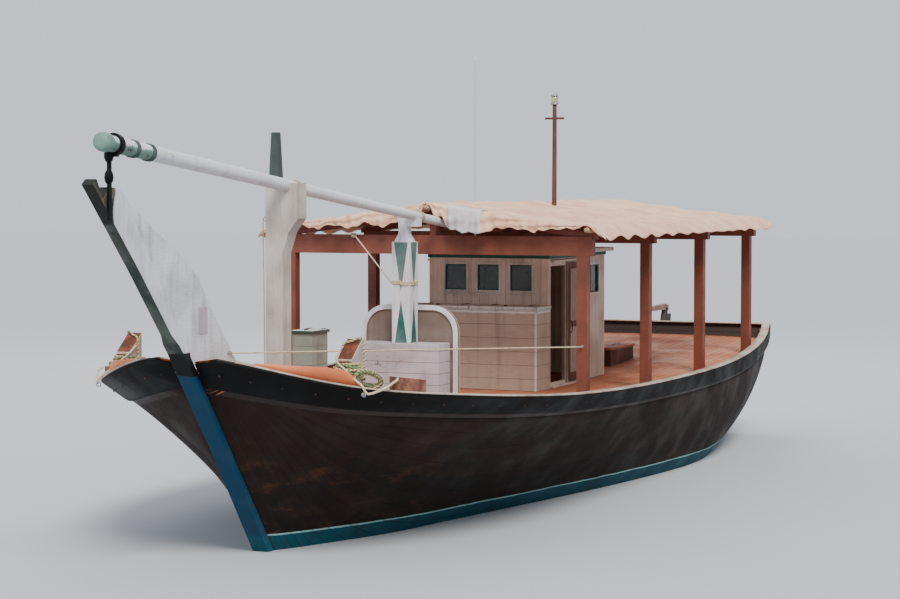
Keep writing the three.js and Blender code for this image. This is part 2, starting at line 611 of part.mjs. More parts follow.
// Hollow boxes on deck: the fore chest, the casing ahead of the wheelhouse, the after hatch
function hollowBox(x0, x1, y0, y1, top, wall, floor) {
  return toSolid(block(x0, x1, y0, y1, 1000, top))
    .subtract(toSolid(block(x0 + wall, x1 - wall, y0 + wall, y1 - wall, floor, top + 50)));
}
addPiece('chest_body', onDeck(hollowBox(chest.x0, chest.x1, chest.y0, chest.y1, chest.top, chest.wall, chest.floor)),
  'postWhite');
addPiece('chest_lid', block(chest.x0 - 22, chest.x1 + 22, chest.y0 - 22, chest.y1 + 22,
  chest.top + gap, chest.top + gap + lidThick), 'bittGreen');
addPiece('casing_body', onDeck(hollowBox(casing.x0, casing.x1, -casing.half, casing.half,
  casing.top, casing.wall, casing.floor)
  .add(toSolid(block(casing.x0 + 10, casing.x1 - 10, -25, 25, 1300, casing.top)))), 'houseBeige');
for (const [side, sign] of [['port', 1], ['starboard', -1]]) {
  const edges = [sign * 4, sign * (casing.half + 15)].sort((a, b) => a - b);
  addPiece(`casing_lid_${side}`, block(casing.x0, casing.x1 + 20, edges[0], edges[1],
    casing.top + gap, casing.top + gap + lidThick), 'postWhite');
}
addPiece('hatch_coaming', onDeck(hollowBox(hatch.x0, hatch.x1, -hatch.half, hatch.half, hatch.top, hatch.wall, 900)),
  'timberBrown');
addPiece('hatch_lid', block(hatch.x0 - 20, hatch.x1 + 20, -hatch.half - 20, hatch.half + 20,
  hatch.top + gap, hatch.top + gap + lidThick), 'deckOrange');

// Wheelhouse of four walls under one roof
const houseIn = house.half - house.wall;
const windowYs = [-frontWindow.pitch, 0, frontWindow.pitch];
let frontWall = toSolid(block(house.x1 - house.wall, house.x1, -house.half, house.half, 1200, house.top));
for (const y of windowYs) {
  frontWall = frontWall.subtract(toSolid(block(house.x1 - 100, house.x1 + 100,
    y - frontWindow.width / 2, y + frontWindow.width / 2, frontWindow.z0, frontWindow.z1)));
}
addPiece('wheelhouse_front', onDeck(frontWall), 'houseBeige');
addPiece('wheelhouse_after', onDeck(toSolid(block(house.x0, house.x0 + house.wall, -house.half, house.half,
  1200, house.top))), 'houseBeige');
for (const [side, sign] of [['port', 1], ['starboard', -1]]) {
  const faces = (inner, outer) => [sign * inner, sign * outer].sort((a, b) => a - b);
  const [w0, w1] = faces(houseIn, house.half);
  let wall = toSolid(block(house.x0 + house.wall + gap, house.x1 - house.wall - gap, w0, w1, 1200, house.top));
  wall = wall.subtract(toSolid(block(doorway.x0, doorway.x1, w0 - 10, w1 + 10, doorway.z0, doorway.z1)));
  wall = wall.subtract(toSolid(block(sideWindow.x0, sideWindow.x1, w0 - 10, w1 + 10, sideWindow.z0, sideWindow.z1)));
  const [t0, t1] = faces(house.half - 1, house.half + 60);
  wall = wall.add(toSolid(block(-1350, doorway.x1 + 20, t0, t1, doorway.z1 + 60, doorway.z1 + 90)));
  wall = wall.add(toSolid(block(-1350, doorway.x1 + 20, t0, t1, doorway.z0 - 70, doorway.z0 - 45)));
  addPiece(`wheelhouse_${side}`, onDeck(wall), 'houseBeige');
  const [d0, d1] = faces(house.half + 8, house.half + 8 + doorThick);
  addPiece(`door_${side}`, block(doorway.x0 - 700, doorway.x0 - 40, d0, d1, doorway.z0 - 45 + gap, doorway.z1 + 55),
    'timberBrown');
  const [g0, g1] = faces(houseIn + 20, houseIn + 28);
  addPiece(`side_pane_${side}`, block(sideWindow.x0 + gap, sideWindow.x1 - gap, g0, g1,
    sideWindow.z0 + gap, sideWindow.z1 - gap), 'paneDark');
}
windowYs.forEach((y, index) => {
  addPiece(`front_pane_${index + 1}`, block(house.x1 - 32, house.x1 - 24, y - frontWindow.width / 2 + gap,
    y + frontWindow.width / 2 - gap, frontWindow.z0 + gap, frontWindow.z1 - gap), 'paneDark');
});
const roofTop = house.top + gap + house.roof;
addPiece('wheelhouse_roof', block(house.x0 - 110, house.x1 + 130, -house.half - 120, house.half + 120,
  house.top + gap, roofTop), 'houseBeige');

// Helm: a console against the front wall and the wheel behind it
addPiece('helm_console', onDeck(join(
  block(house.x1 - house.wall - gap - 380, house.x1 - house.wall - gap, -320, 320, 1300, 2250),
  block(house.x1 - house.wall - gap - 380, house.x1 - house.wall - gap - 180, -70, 70, 2200, helm.z + 70))), 'timberBrown');
const consoleAft = house.x1 - house.wall - gap - 380;
const wheelRim = new THREE.TorusGeometry(helm.radius - 20, 18, 10, 32).rotateY(Math.PI / 2);
let wheel = join(bar([helm.x - 40, 0, 0], [consoleAft - gap, 0, 0], 45, 45, 20)).add(
  toSolid(wheelRim.translate(helm.x, 0, 0)));
for (let spoke = 0; spoke < 8; spoke += 1) {
  const angle = spoke * Math.PI / 4;
  wheel = wheel.add(toSolid(bar([helm.x, 0, 0],
    [helm.x, (helm.radius + 80) * Math.cos(angle), (helm.radius + 80) * Math.sin(angle)], 14, 13, 10)));
}
addPiece('helm_wheel', toGeometry(wheel.translate([0, 0, helm.z])), 'timberBrown');

// Canopy frames: two posts, a beam, a king post and two rafters
canopyFrames.forEach((x, index) => {
  const half = canopyTimber / 2;
  const rafter = (sign) => crossPlate([[sign * 20, ridgeZ - poleRadius - 90], [sign * 20, ridgeZ - poleRadius - 10],
    [sign * (canopyHalf + 60), beamTop + 40], [sign * (canopyHalf + 60), beamTop - 40]], x - 45, x + 45);
  const frame = join(
    block(x - half, x + half, -canopyHalf, canopyHalf, index === 0 ? fasciaBottom : beamBottom, beamTop),
    block(x - half, x + half, canopyPostY - half, canopyPostY + half, 1000, beamBottom + 20),
    block(x - half, x + half, -canopyPostY - half, -canopyPostY + half, 1000, beamBottom + 20),
    block(x - 50, x + 50, -50, 50, beamTop - 20, ridgeZ - poleRadius - gap),
    rafter(1), rafter(-1));
  addPiece(`canopy_frame_${index + 1}`, onDeck(frame), 'timberBrown');
});
const rafterSlope = (ridgeZ - poleRadius - 10 - beamTop - 40) / (canopyHalf + 40);
const eaveZ = beamTop + 40 + 60 * rafterSlope + (poleRadius + gap) * Math.hypot(1, rafterSlope);
const canopyX1 = canopyFrames[0] + poleOver;
const canopyX0 = canopyFrames[canopyFrames.length - 1] - poleOver;
addPiece('canopy_ridge', bar([canopyX0, 0, ridgeZ], [canopyX1, 0, ridgeZ], poleRadius, poleRadius, 12), 'poleTan');
for (const [side, sign] of [['port', 1], ['starboard', -1]]) {
  addPiece(`canopy_eave_${side}`, bar([canopyX0, sign * canopyHalf, eaveZ],
    [canopyX1, sign * canopyHalf, eaveZ], poleRadius, poleRadius, 12), 'poleTan');
}

// Cloth over the poles, with the holes that staff and whip pass through. Its fore edge hangs down
// ahead of the fascia as a valance, and the poles and the spar pass through it.
const clothLow = [[0, ridgeZ + poleRadius + 0.9], [900, 4040], [1800, 3925],
  [canopyHalf + 20, eaveZ + poleRadius - 1.2], [clothHalf, 3740]];
const clothOutline = [...clothLow.slice().reverse().map(([y, z]) => [-y, z]), ...clothLow.slice(1)];
const clothTopLine = clothOutline.slice().reverse().map(([y, z]) => [y, z + clothThick]);
const clothFore = canopyFrames[0] + clothOver;
let valance = toSolid(crossPlate([[-clothHalf, valanceFoot], [clothHalf, valanceFoot], ...clothTopLine],
  clothFore - clothThick, clothFore)).subtract(sparSeat);
for (const [y, z] of [[0, ridgeZ], [canopyHalf, eaveZ], [-canopyHalf, eaveZ]]) {
  valance = valance.subtract(toSolid(bar([clothFore - 200, y, z], [clothFore + 200, y, z],
    poleRadius + 0.8, poleRadius + 0.8, 12)));
}
const cloth = toSolid(crossPlate([...clothOutline, ...clothTopLine],
  canopyFrames[canopyFrames.length - 1] - clothOver, clothFore))
  .add(valance)
  .subtract(toSolid(bar([staff.x, staff.y, 3500], [staff.x, staff.y, 5000], staff.radius + 25, staff.radius + 25, 16)))
  .subtract(toSolid(bar([whip.x, whip.y, 3500], [whip.x, whip.y, 5000], whip.radius + 25, whip.radius + 25, 16)));
addPiece('canopy_cloth', toGeometry(cloth), 'clothPink');

addPiece('signal_staff', toGeometry(join(
  bar([staff.x, staff.y, roofTop + gap], [staff.x, staff.y, staff.top - 180], staff.radius, 34, 16),
  block(staff.x - 20, staff.x + 20, staff.y - 160, staff.y + 160, staff.top - 420, staff.top - 380),
  bar([staff.x, staff.y, staff.top - 185], [staff.x, staff.y, staff.top], 62, 62, 16))), 'timberBrown');
addPiece('whip_aerial', toGeometry(join(
  bar([whip.x, whip.y, roofTop + gap], [whip.x, whip.y, roofTop + 160], 32, 26, 12),
  bar([whip.x, whip.y, roofTop + 150], [whip.x, whip.y, whip.top], whip.radius, 7, 10))), 'postWhite');

export default boat;
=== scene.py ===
import math
import bpy
import bmesh
import numpy as np
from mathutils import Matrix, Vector


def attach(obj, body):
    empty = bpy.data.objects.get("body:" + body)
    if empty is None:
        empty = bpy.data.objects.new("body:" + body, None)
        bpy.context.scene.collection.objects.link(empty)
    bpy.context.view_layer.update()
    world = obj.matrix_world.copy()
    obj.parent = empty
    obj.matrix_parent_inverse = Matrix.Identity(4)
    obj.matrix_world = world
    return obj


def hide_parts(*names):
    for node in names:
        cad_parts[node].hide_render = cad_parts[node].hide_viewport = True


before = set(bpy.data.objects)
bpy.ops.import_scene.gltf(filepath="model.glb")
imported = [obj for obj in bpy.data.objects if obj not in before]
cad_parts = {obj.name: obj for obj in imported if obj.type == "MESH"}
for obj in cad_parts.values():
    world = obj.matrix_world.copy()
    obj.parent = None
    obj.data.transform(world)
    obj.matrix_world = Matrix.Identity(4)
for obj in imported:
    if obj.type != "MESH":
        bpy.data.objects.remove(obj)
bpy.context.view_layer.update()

# Metres. +X forward, +Y port, +Z up, with the waterline at z = 0.
alongX, alongY, alongZ = np.eye(3)
sides = {"port": np.array([1, 1, 1]), "starboard": np.array([1, -1, 1])}
fullTurn = 2 * math.pi


# Meshes from arrays

# A grid of points (rows, columns, 3) becomes quads. wrap joins the last column to the first, and
# caps closes each end of a wrapped grid to its middle point. UVs are lengths in metres.
def gridPart(points, wrap=False, caps=False):
    rows, columns, _ = points.shape
    ring = np.concatenate([points, points[:, :1]], axis=1) if wrap else points
    rowSteps = np.linalg.norm(np.diff(points, axis=0), axis=2).mean(axis=1)
    columnSteps = np.linalg.norm(np.diff(ring, axis=1), axis=2).mean(axis=0)
    uLine = np.concatenate([[0.0], np.cumsum(rowSteps)])
    vLine = np.concatenate([[0.0], np.cumsum(columnSteps)])
    i, j = np.meshgrid(np.arange(rows - 1), np.arange(ring.shape[1] - 1), indexing="ij")
    corners = ((0, 0), (1, 0), (1, 1), (0, 1))
    quads = np.stack([(i + di) * columns + (j + dj) % columns for di, dj in corners], axis=-1).reshape(-1, 4)
    uvs = np.stack([np.stack([uLine[i + di], vLine[j + dj]], -1) for di, dj in corners], axis=-2)
    verts = points.reshape(-1, 3)
    tris, triUvs = np.zeros((0, 3), int), np.zeros((0, 3, 2))
    if caps:
        k = np.arange(columns)
        kn = (k + 1) % columns
        first, last = len(verts), len(verts) + 1
        verts = np.concatenate([verts, points[[0, -1]].mean(axis=1)])
        head = np.stack([np.full(columns, first), k, kn], axis=-1)
        end = (rows - 1) * columns
        tail = np.stack([np.full(columns, last), end + kn, end + k], axis=-1)
        tris = np.concatenate([head, tail])
        flat = np.zeros((columns, 3, 2))
        flat[:, 1:, 1] = np.stack([vLine[k], vLine[k + 1]], -1)
        triUvs = np.concatenate([flat, flat + [uLine[-1], 0]])
    return verts, quads, uvs, tris, triUvs


def closedPart(points):
    return gridPart(points, wrap=True, caps=True)


# A round tube: each point of the path carries a circle square to the path. The circle starts from
# the guide, a direction that the path never runs along.
def tubePart(path, radius, facets=12, guide=None):
    path = np.asarray(path, float)
    radius = np.broadcast_to(np.asarray(radius, float), (len(path),))
    run = np.gradient(path, axis=0)
    run /= np.linalg.norm(run, axis=1, keepdims=True)
    if guide is None:
        guide = alongZ if np.abs(run[:, 2]).max() < 0.9 else np.array([0.32, 0.94, 0.1])
    side = np.cross(run, guide)
    side /= np.linalg.norm(side, axis=1, keepdims=True)
    rise = np.cross(side, run)
    turn = np.linspace(0, fullTurn, facets, endpoint=False)[:, None]
    circle = np.cos(turn) * side[:, None] + np.sin(turn) * rise[:, None]
    return closedPart(path[:, None] + radius[:, None, None] * circle)


# An axis of length one, and two directions square to it and to each other.
def squareTo(axis):
    axis = np.asarray(axis, float) / np.linalg.norm(axis)
    side = np.cross(axis, alongY if abs(axis[1]) < 0.9 else alongX)
    side /= np.linalg.norm(side)
    return axis, side, np.cross(axis, side)


# A turned shape: (radius, height) pairs carried round an axis through a foot point.
def turnedPart(profile, foot, axis=alongZ, facets=24):
    radius, height = np.asarray(profile, float).T[:, :, None, None]
    axis, side, rise = squareTo(axis)
    turn = np.linspace(0, fullTurn, facets, endpoint=False)[:, None]
    circle = np.cos(turn) * side + np.sin(turn) * rise
    return closedPart(np.asarray(foot, float) + height * axis + radius * circle)


# Rows of (low corner, high corner) become boxes. Each face shows a fifth of a metre of a board.
def blockPart(rows):
    lows, highs = np.asarray(rows, float).transpose(1, 0, 2)[:, :, None]
    pick = np.array([[x, y, z] for x in (0, 1) for y in (0, 1) for z in (0, 1)])
    verts = (lows + pick * (highs - lows)).reshape(-1, 3)
    box = np.array([[0, 1, 3, 2], [4, 6, 7, 5], [0, 4, 5, 1], [2, 3, 7, 6], [0, 2, 6, 4], [1, 5, 7, 3]])
    faces = (box + 8 * np.arange(len(lows))[:, None, None]).reshape(-1, 4)
    uvs = np.tile(np.array([[0, 0], [1, 0], [1, 1], [0, 1]], float), (len(faces), 1, 1)) * 0.2
    return verts, faces, uvs, np.zeros((0, 3), int), np.zeros((0, 3, 2))


# Turns a part about an axis through a pivot, by an angle in degrees.
def turned(part, degrees, axis, pivot):
    angle = math.radians(degrees)
    off = part[0] - pivot
    spun = (off * math.cos(angle) + np.cross(axis, off) * math.sin(angle)
            + np.outer(off @ axis, axis) * (1 - math.cos(angle)))
    return (spun + pivot, *part[1:])


# A cubic through table values: each span uses the slopes between its neighbours.
def between(xs, ys, x):
    n = len(xs)
    ys = np.asarray(ys)
    if ys.ndim == 1:
        ys = ys.reshape((n,) + (1,) * np.ndim(x))
    ys = np.broadcast_to(ys, (n,) + np.shape(x))
    low, high = np.maximum(np.arange(n) - 1, 0), np.minimum(np.arange(n) + 1, n - 1)
    slopes = (ys[high] - ys[low]) / (xs[high] - xs[low]).reshape((n,) + (1,) * np.ndim(x))
    i = np.clip(np.searchsorted(xs, x, side="left") - 1, 0, n - 2)
    pick = lambda values, k: np.take_along_axis(values, k[None], axis=0)[0]
    step = xs[i + 1] - xs[i]
    t = (x - xs[i]) / step
    start = pick(ys, i)
    rise = pick(ys, i + 1) - start
    a = pick(slopes, i) * step - rise
    b = rise - pick(slopes, i + 1) * step
    return start + t * rise + t * (1 - t) * (a * (1 - t) + b * t)


# A smooth path through given points, evenly parted by chord length.
def smoothPath(points, count):
    points = np.asarray(points, float)
    chord = np.concatenate([[0.0], np.cumsum(np.linalg.norm(np.diff(points, axis=0), axis=1))])
    s = np.linspace(0, chord[-1], count)
    return np.stack([between(chord, points[:, k], s) for k in range(3)], axis=-1)


# The name of a finish gives its material and the name of a slot in the record.
finishes = {}


# One mesh from several parts. Doubles are merged, except in boards, which keep their own corners where
# they touch.
def makeObject(name, parts, finish, body="hull", stands=(), bevel=0.0, merge=True):
    firsts = np.cumsum([0] + [len(part[0]) for part in parts])
    verts = np.concatenate([part[0] for part in parts])
    quads = np.concatenate([part[1] + first for part, first in zip(parts, firsts)])
    tris = np.concatenate([part[3] + first for part, first in zip(parts, firsts)])
    uvs = np.concatenate([part[k].reshape(-1, 2) for k in (2, 4) for part in parts])
    loops = np.concatenate([quads.ravel(), tris.ravel()])
    starts = np.concatenate([np.arange(len(quads)) * 4, len(quads) * 4 + np.arange(len(tris)) * 3])
    mesh = bpy.data.meshes.new(name)
    mesh.vertices.add(len(verts))
    mesh.vertices.foreach_set("co", verts.ravel().astype(np.float32))
    mesh.loops.add(len(loops))
    mesh.loops.foreach_set("vertex_index", loops.astype(np.int32))
    mesh.polygons.add(len(starts))
    mesh.polygons.foreach_set("loop_start", starts.astype(np.int32))
    mesh.uv_layers.new(name="lengths").data.foreach_set("uv", uvs.ravel().astype(np.float32))
    mesh.update(calc_edges=True)
    shell = bmesh.new()
    shell.from_mesh(mesh)
    if merge:
        bmesh.ops.remove_doubles(shell, verts=shell.verts, dist=1e-6)
    bmesh.ops.recalc_face_normals(shell, faces=shell.faces)
    shell.to_mesh(mesh)
    shell.free()
    return finishObject(name, mesh, finish, body, stands, bevel)


def finishObject(name, mesh, finish, body, stands, bevel):
    material, slot = finishes[finish]
    piece = bpy.data.objects.new(name, mesh)
    bpy.context.scene.collection.objects.link(piece)
    mesh.materials.clear()
    mesh.materials.append(material)
    mesh.polygons.foreach_set("use_smooth", np.full(len(mesh.polygons), True))
    if bevel:
        edge = piece.modifiers.new("edges", "BEVEL")
        edge.width = bevel
        edge.segments = 2
        edge.limit_method = "ANGLE"
        edge.angle_limit = math.radians(35)
        piece.modifiers.new("shading", "WEIGHTED_NORMAL").keep_sharp = True
    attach(piece, body)
    if stands:
        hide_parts(*stands)
    return piece


# A softened copy of a CAD piece: doubles merged, flat faces joined, edges rounded.
def softened(node, finish, bevel, body="hull"):
    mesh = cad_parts[node].data.copy()
    shell = bmesh.new()
    shell.from_mesh(mesh)
    bmesh.ops.remove_doubles(shell, verts=shell.verts, dist=1e-5)
    bmesh.ops.dissolve_limit(shell, angle_limit=math.radians(1.0), verts=shell.verts, edges=shell.edges)
    shell.to_mesh(mesh)
    shell.free()
    return finishObject(node + "_look", mesh, finish, body, (node,), bevel)


# Node trees

# A value on a wire of a node tree. Arithmetic on wires adds Math nodes.
class Wire:
    def __init__(self, socket):
        self.socket, self.tree = socket, socket.id_data

    def calc(self, operation, other=0.0):
        return mathNode(self.tree, operation, self, other)

    def __add__(self, other):
        return mathNode(self.tree, "ADD", self, other)

    def __sub__(self, other):
        return mathNode(self.tree, "SUBTRACT", self, other)

    def __rsub__(self, other):
        return mathNode(self.tree, "SUBTRACT", other, self)

    def __mul__(self, other):
        return mathNode(self.tree, "MULTIPLY", self, other)

    def __truediv__(self, other):
        return mathNode(self.tree, "DIVIDE", self, other)

    def __abs__(self):
        return mathNode(self.tree, "ABSOLUTE", self, 0.0)


def feed(socket, value):
    if isinstance(value, Wire):
        value.tree.links.new(value.socket, socket)
    else:
        socket.default_value = value


def addNode(tree, kind, inputs=None, **settings):
    node = tree.nodes.new(kind)
    for key, value in settings.items():
        setattr(node, key, value)
    for key, value in (inputs or {}).items():
        feed(node.inputs[key], value)
    return node


def mathNode(tree, operation, a, b):
    return Wire(addNode(tree, "ShaderNodeMath", {0: a, 1: b}, operation=operation).outputs[0])


# Softly from one value to another, as the input goes from low to high.
def spread(value, low, high, toLow=0.0, toHigh=1.0):
    inputs = {0: value, 1: low, 2: high, 3: toLow, 4: toHigh}
    return Wire(addNode(value.tree, "ShaderNodeMapRange", inputs, interpolation_type="SMOOTHSTEP").outputs[0])


# Three numbers are a display colour out of 255, made linear here. A wire or a linear colour passes.
def tint(value):
    if isinstance(value, Wire) or len(value) == 4:
        return value
    return (*[((c / 255 + 0.055) / 1.055) ** 2.4 if c > 10 else c / 255 / 12.92 for c in value], 1.0)


def mix(share, a, b):
    return Wire(addNode(share.tree, "ShaderNodeMix", {0: share, 6: tint(a), 7: tint(b)},
                        data_type="RGBA", blend_type="MIX").outputs[2])


def noise(vector, scale, detail=3.0, rough=0.55, warp=0.0):
    inputs = {"Vector": vector, "Scale": scale, "Detail": detail, "Roughness": rough, "Distortion": warp}
    return Wire(addNode(vector.tree, "ShaderNodeTexNoise", inputs).outputs["Fac"])


# A noise about zero, of the given reach.
def waver(vector, scale, detail, reach):
    return (noise(vector, scale, detail) - 0.5) * reach


def mapped(vector, **inputs):
    return Wire(addNode(vector.tree, "ShaderNodeMapping", {"Vector": vector, **inputs}).outputs[0])


def apart(vector):
    return [Wire(socket) for socket in addNode(vector.tree, "ShaderNodeSeparateXYZ", {0: vector}).outputs]


def bump(height, distance, strength=1.0):
    inputs = {"Height": height, "Distance": distance, "Strength": strength}
    return Wire(addNode(height.tree, "ShaderNodeBump", inputs).outputs[0])


def normalOf(place):
    return Wire(addNode(place.tree, "ShaderNodeTexCoord").outputs["Normal"])


# How far a surface looks along one axis: 0 edge on to it, 1 square to it.
def facing(place, axis):
    return abs(apart(normalOf(place))["XYZ".index(axis)])


# A shader group. make turns the wires of its inputs into its outputs by name. An input whose value
# is None is a vector, and the others are numbers.
def newGroup(make, **defaults):
    tree = bpy.data.node_groups.new(make.__name__, "ShaderNodeTree")
    for key, value in defaults.items():
        kind = "NodeSocketVector" if value is None else "NodeSocketFloat"
        socket = tree.interface.new_socket(name=key, in_out="INPUT", socket_type=kind)
        if value is not None:
            socket.default_value = value
    come = addNode(tree, "NodeGroupInput")
    results = make(*[Wire(come.outputs[key]) for key in defaults])
    for key in results:
        tree.interface.new_socket(name=key, in_out="OUTPUT", socket_type="NodeSocketFloat")
    addNode(tree, "NodeGroupOutput", results)
    return tree


def useGroup(tree, group, **inputs):
    node = addNode(tree, "ShaderNodeGroup", node_tree=group)
    for key, value in inputs.items():
        feed(node.inputs[key], value)
    return {socket.name: Wire(socket) for socket in node.outputs}


# Board seams: dark within a gap of each board edge, and a random number for each board.
def boards(across, width, gap):
    share = across / width
    edge = 0.5 - abs(share.calc("FRACT") - 0.5)
    chance = addNode(share.tree, "ShaderNodeTexWhiteNoise", {"W": share.calc("FLOOR")}, noise_dimensions="1D")
    return {"Seam": spread(edge, 0.0, gap / width, 1.0, 0.0), "Board": Wire(chance.outputs["Value"])}


# Wood grain: fine noise stretched along the fibres, which run along the vector's first axis.
def grain(vector):
    stretched = mapped(vector, Scale=(0.06, 1.0, 1.0))
    return {"Fibre": noise(stretched, 90.0, 4.0, 0.62, 0.6), "Knots": noise(stretched, 12.0, 3.0, 0.6, 1.5)}


# Wear: paint is lost where two noises of different size are both high.
def wear(vector, size, amount):
    scaled = Wire(addNode(vector.tree, "ShaderNodeVectorMath", {0: vector, "Scale": size},
                          operation="SCALE").outputs[0])
    broad = noise(scaled, 1.7)
    both = broad * 0.55 + noise(scaled, 19.0, 5.0, 0.7) * 0.45
    return {"Mask": spread(both - (0.72 - amount * 0.32), 0.0, 0.035), "Patch": broad}


# Streaks: noise squeezed sideways and drawn out downwards, as rain and rust run.
def streaks(vector, amount):
    runs = noise(mapped(vector, Scale=(1.0, 1.0, 0.09)), 8.0, 4.0, 0.6)
    return {"Mask": spread(runs, 0.48, 0.72) * amount}


boardsGroup = newGroup(boards, Across=0.0, Width=0.15, Gap=0.006)
grainGroup = newGroup(grain, Vector=None)
wearGroup = newGroup(wear, Vector=None, Size=1.0, Amount=0.3)
streaksGroup = newGroup(streaks, Vector=None, Amount=0.3)
print("shared shader groups built")


# A new material, with the wires of its object coordinates and of its UV map.
def newMaterial(name):
    material = bpy.data.materials.new(name)
    material.use_nodes = True
    coordinates = addNode(material.node_tree, "ShaderNodeTexCoord").outputs
    return material, Wire(coordinates["Object"]), Wire(coordinates["UV"])


def dressed(material, inputs):
    shader = material.node_tree.nodes["Principled BSDF"]
    for key, value in inputs.items():
        feed(shader.inputs[key], value)
    return material


# Painted or oiled boards: paint that fades in patches, seams, grain, wear down to the wood, and streaks.
boardLook = {
    "boardWidth": 0.16, "seamGap": 0.007, "boardShade": 0.12, "seamDirt": 0.75, "fibreDirt": 0.22,
    "fibreDepth": 0.35, "wearDepth": 0.4, "bump": 0.004, "roughLow": 0.5, "roughHigh": 0.85, "specular": 0.4,
}
fibreTurns = {"X": (0, 0, 0), "Y": (0, 0, math.pi / 2), "Z": (0, math.pi / 2, 0), "U": (0, 0, 0)}


def boardMaterial(name, paint, fade, under, dirt, seamAxis, grainAxis, wearAmount, streakAmount, changes):
    look = {**boardLook, **changes}
    material, place, uv = newMaterial(name)
    tree = material.node_tree
    fibreFrom = mapped(uv if grainAxis == "U" else place, Rotation=fibreTurns[grainAxis])
    wood = useGroup(tree, grainGroup, Vector=fibreFrom)
    worn = useGroup(tree, wearGroup, Vector=place, Amount=wearAmount)
    rain = useGroup(tree, streaksGroup, Vector=place, Amount=streakAmount)
    if callable(paint):
        tone = mix(spread(worn["Patch"], 0.4, 0.75, 0.0, 0.3), paint(place), fade)
    else:
        tone = mix(spread(worn["Patch"], 0.35, 0.68), paint, fade)
    height = wood["Fibre"] * look["fibreDepth"]
    if seamAxis:
        across = apart(uv)[1] if seamAxis == "V" else apart(place)["XYZ".index(seamAxis)]
        planks = useGroup(tree, boardsGroup, Across=across, Width=look["boardWidth"], Gap=look["seamGap"])
        tone = mix(planks["Board"] * look["boardShade"], tone, under)
        tone = mix(planks["Seam"] * look["seamDirt"], tone, dirt)
        height = height - planks["Seam"]
    tone = mix(worn["Mask"], tone, mix(wood["Knots"], under, dirt))
    tone = mix(spread(wood["Fibre"], 0.4, 0.75) * look["fibreDirt"], tone, dirt)
    return dressed(material, {
        "Base Color": mix(rain["Mask"], tone, dirt),
        "Roughness": spread(worn["Patch"], 0.3, 0.7, look["roughLow"], look["roughHigh"]),
        "Normal": bump(height - worn["Mask"] * look["wearDepth"], look["bump"]),
        "Specular IOR Level": look["specular"],
    })


# Hull paint by height: dark brown topsides, rubbed and stained, a pale line, the blue boot top, weed below.
hullPaint = {
    "topsides": (35, 23, 18), "topsidesLow": (22, 16, 14), "paler": (60, 41, 32), "stain": (100, 58, 38),
    "line": (150, 196, 194), "bootTop": (14, 76, 92), "weed": (46, 58, 44),
    "lineFoot": 0.193, "lineHead": 0.215, "edge": 0.004,
}


def hullColour(place):
    h = hullPaint
    x, _, z = apart(place)
    edge = z + waver(place, 1.3, 2.0, 0.03)
    top = mix(spread(z, 0.3, 1.7), h["topsidesLow"], h["topsides"])
    drawn = mapped(place, Scale=(0.5, 1, 2.2))
    top = mix(spread(noise(drawn, 1.1, 5.0, 0.6), 0.5, 0.74, 0.0, 0.5), top, h["paler"])
    bow = spread(x, 2.5, 7.5) * spread(z, 1.5, 0.5)
    top = mix(spread(noise(drawn, 2.3, 5.0, 0.7), 0.53, 0.7) * bow * 0.7, top, h["stain"])
    boot = mix(spread(edge, -0.25, 0.05), h["weed"], h["bootTop"])
    boot = mix(spread(edge, h["lineFoot"], h["lineFoot"] + h["edge"]), boot, h["line"])
    return mix(spread(edge, h["lineHead"], h["lineHead"] + h["edge"]), boot, top)


# Stem paint: boot top low down, clear blue to the strake, black across it, then white sides and a grey
# green fore edge up to the tarred head.
stemPaint = {
    "blue": (2, 56, 84), "black": (12, 11, 11), "white": (206, 209, 214), "grey": (88, 94, 84),
    "greyDark": (52, 56, 50), "tar": (34, 34, 30), "tarGrey": (92, 84, 72),
    "blackFrom": 2.27, "whiteFrom": 2.53, "headX": 10.88,
}


def stemColour(place):
    s = stemPaint
    x, _, z = apart(place)
    worn = noise(place, 2.4, 4.0)
    wander = (worn - 0.5) * 0.07
    level = z + wander
    blue = mix(spread(z, 0.18, 0.24), hullPaint["bootTop"], s["blue"])
    low = mix(spread(z, -0.3, 0.02), hullPaint["weed"], blue)
    side = spread(facing(place, "Y"), 0.55, 0.8)
    above = mix(side, mix(spread(worn, 0.4, 0.62), s["greyDark"], s["grey"]), s["white"])
    tar = mix(side * spread(worn, 0.42, 0.6), s["tar"], s["tarGrey"])
    above = mix(spread(x + wander * 2.5, s["headX"], s["headX"] + 0.04), above, tar)
    above = mix(spread(level, s["whiteFrom"], s["whiteFrom"] + 0.02), s["black"], above)
    return mix(spread(level, s["blackFrom"], s["blackFrom"] + 0.015), low, above)


# Bulwark paint: hull brown on the outside, red brown towards the deck. A side looks outboard where its
# normal and its place lie on the same side of the middle line.
def bulwarkColour(place):
    outward = apart(normalOf(place))[1] * apart(place)[1]
    inside = mix(spread(noise(place, 3.1, 4.0), 0.38, 0.66), (150, 72, 42), (186, 106, 70))
    return mix(spread(outward, -0.01, 0.01), inside, hullPaint["topsides"])


# Bitt paint: on each face two long green triangles meet point to point at mid height.
bittPaint = {"x": 3.22, "middle": 2.92, "reach": 0.74, "slope": 0.105 / 0.68, "gap": 0.05, "edge": 0.002,
             "white": (205, 206, 210), "green": (0, 84, 74)}


def bittColour(place):
    b = bittPaint
    x, y, z = apart(place)
    rise = abs(z - b["middle"])
    width = (rise - b["gap"]) * b["slope"]
    inside = spread(width - abs(x - b["x"]).calc("MINIMUM", abs(y)), -b["edge"], b["edge"])
    return mix(inside * spread(rise, b["reach"] - 0.01, b["reach"], 1.0, 0.0), b["white"], b["green"])


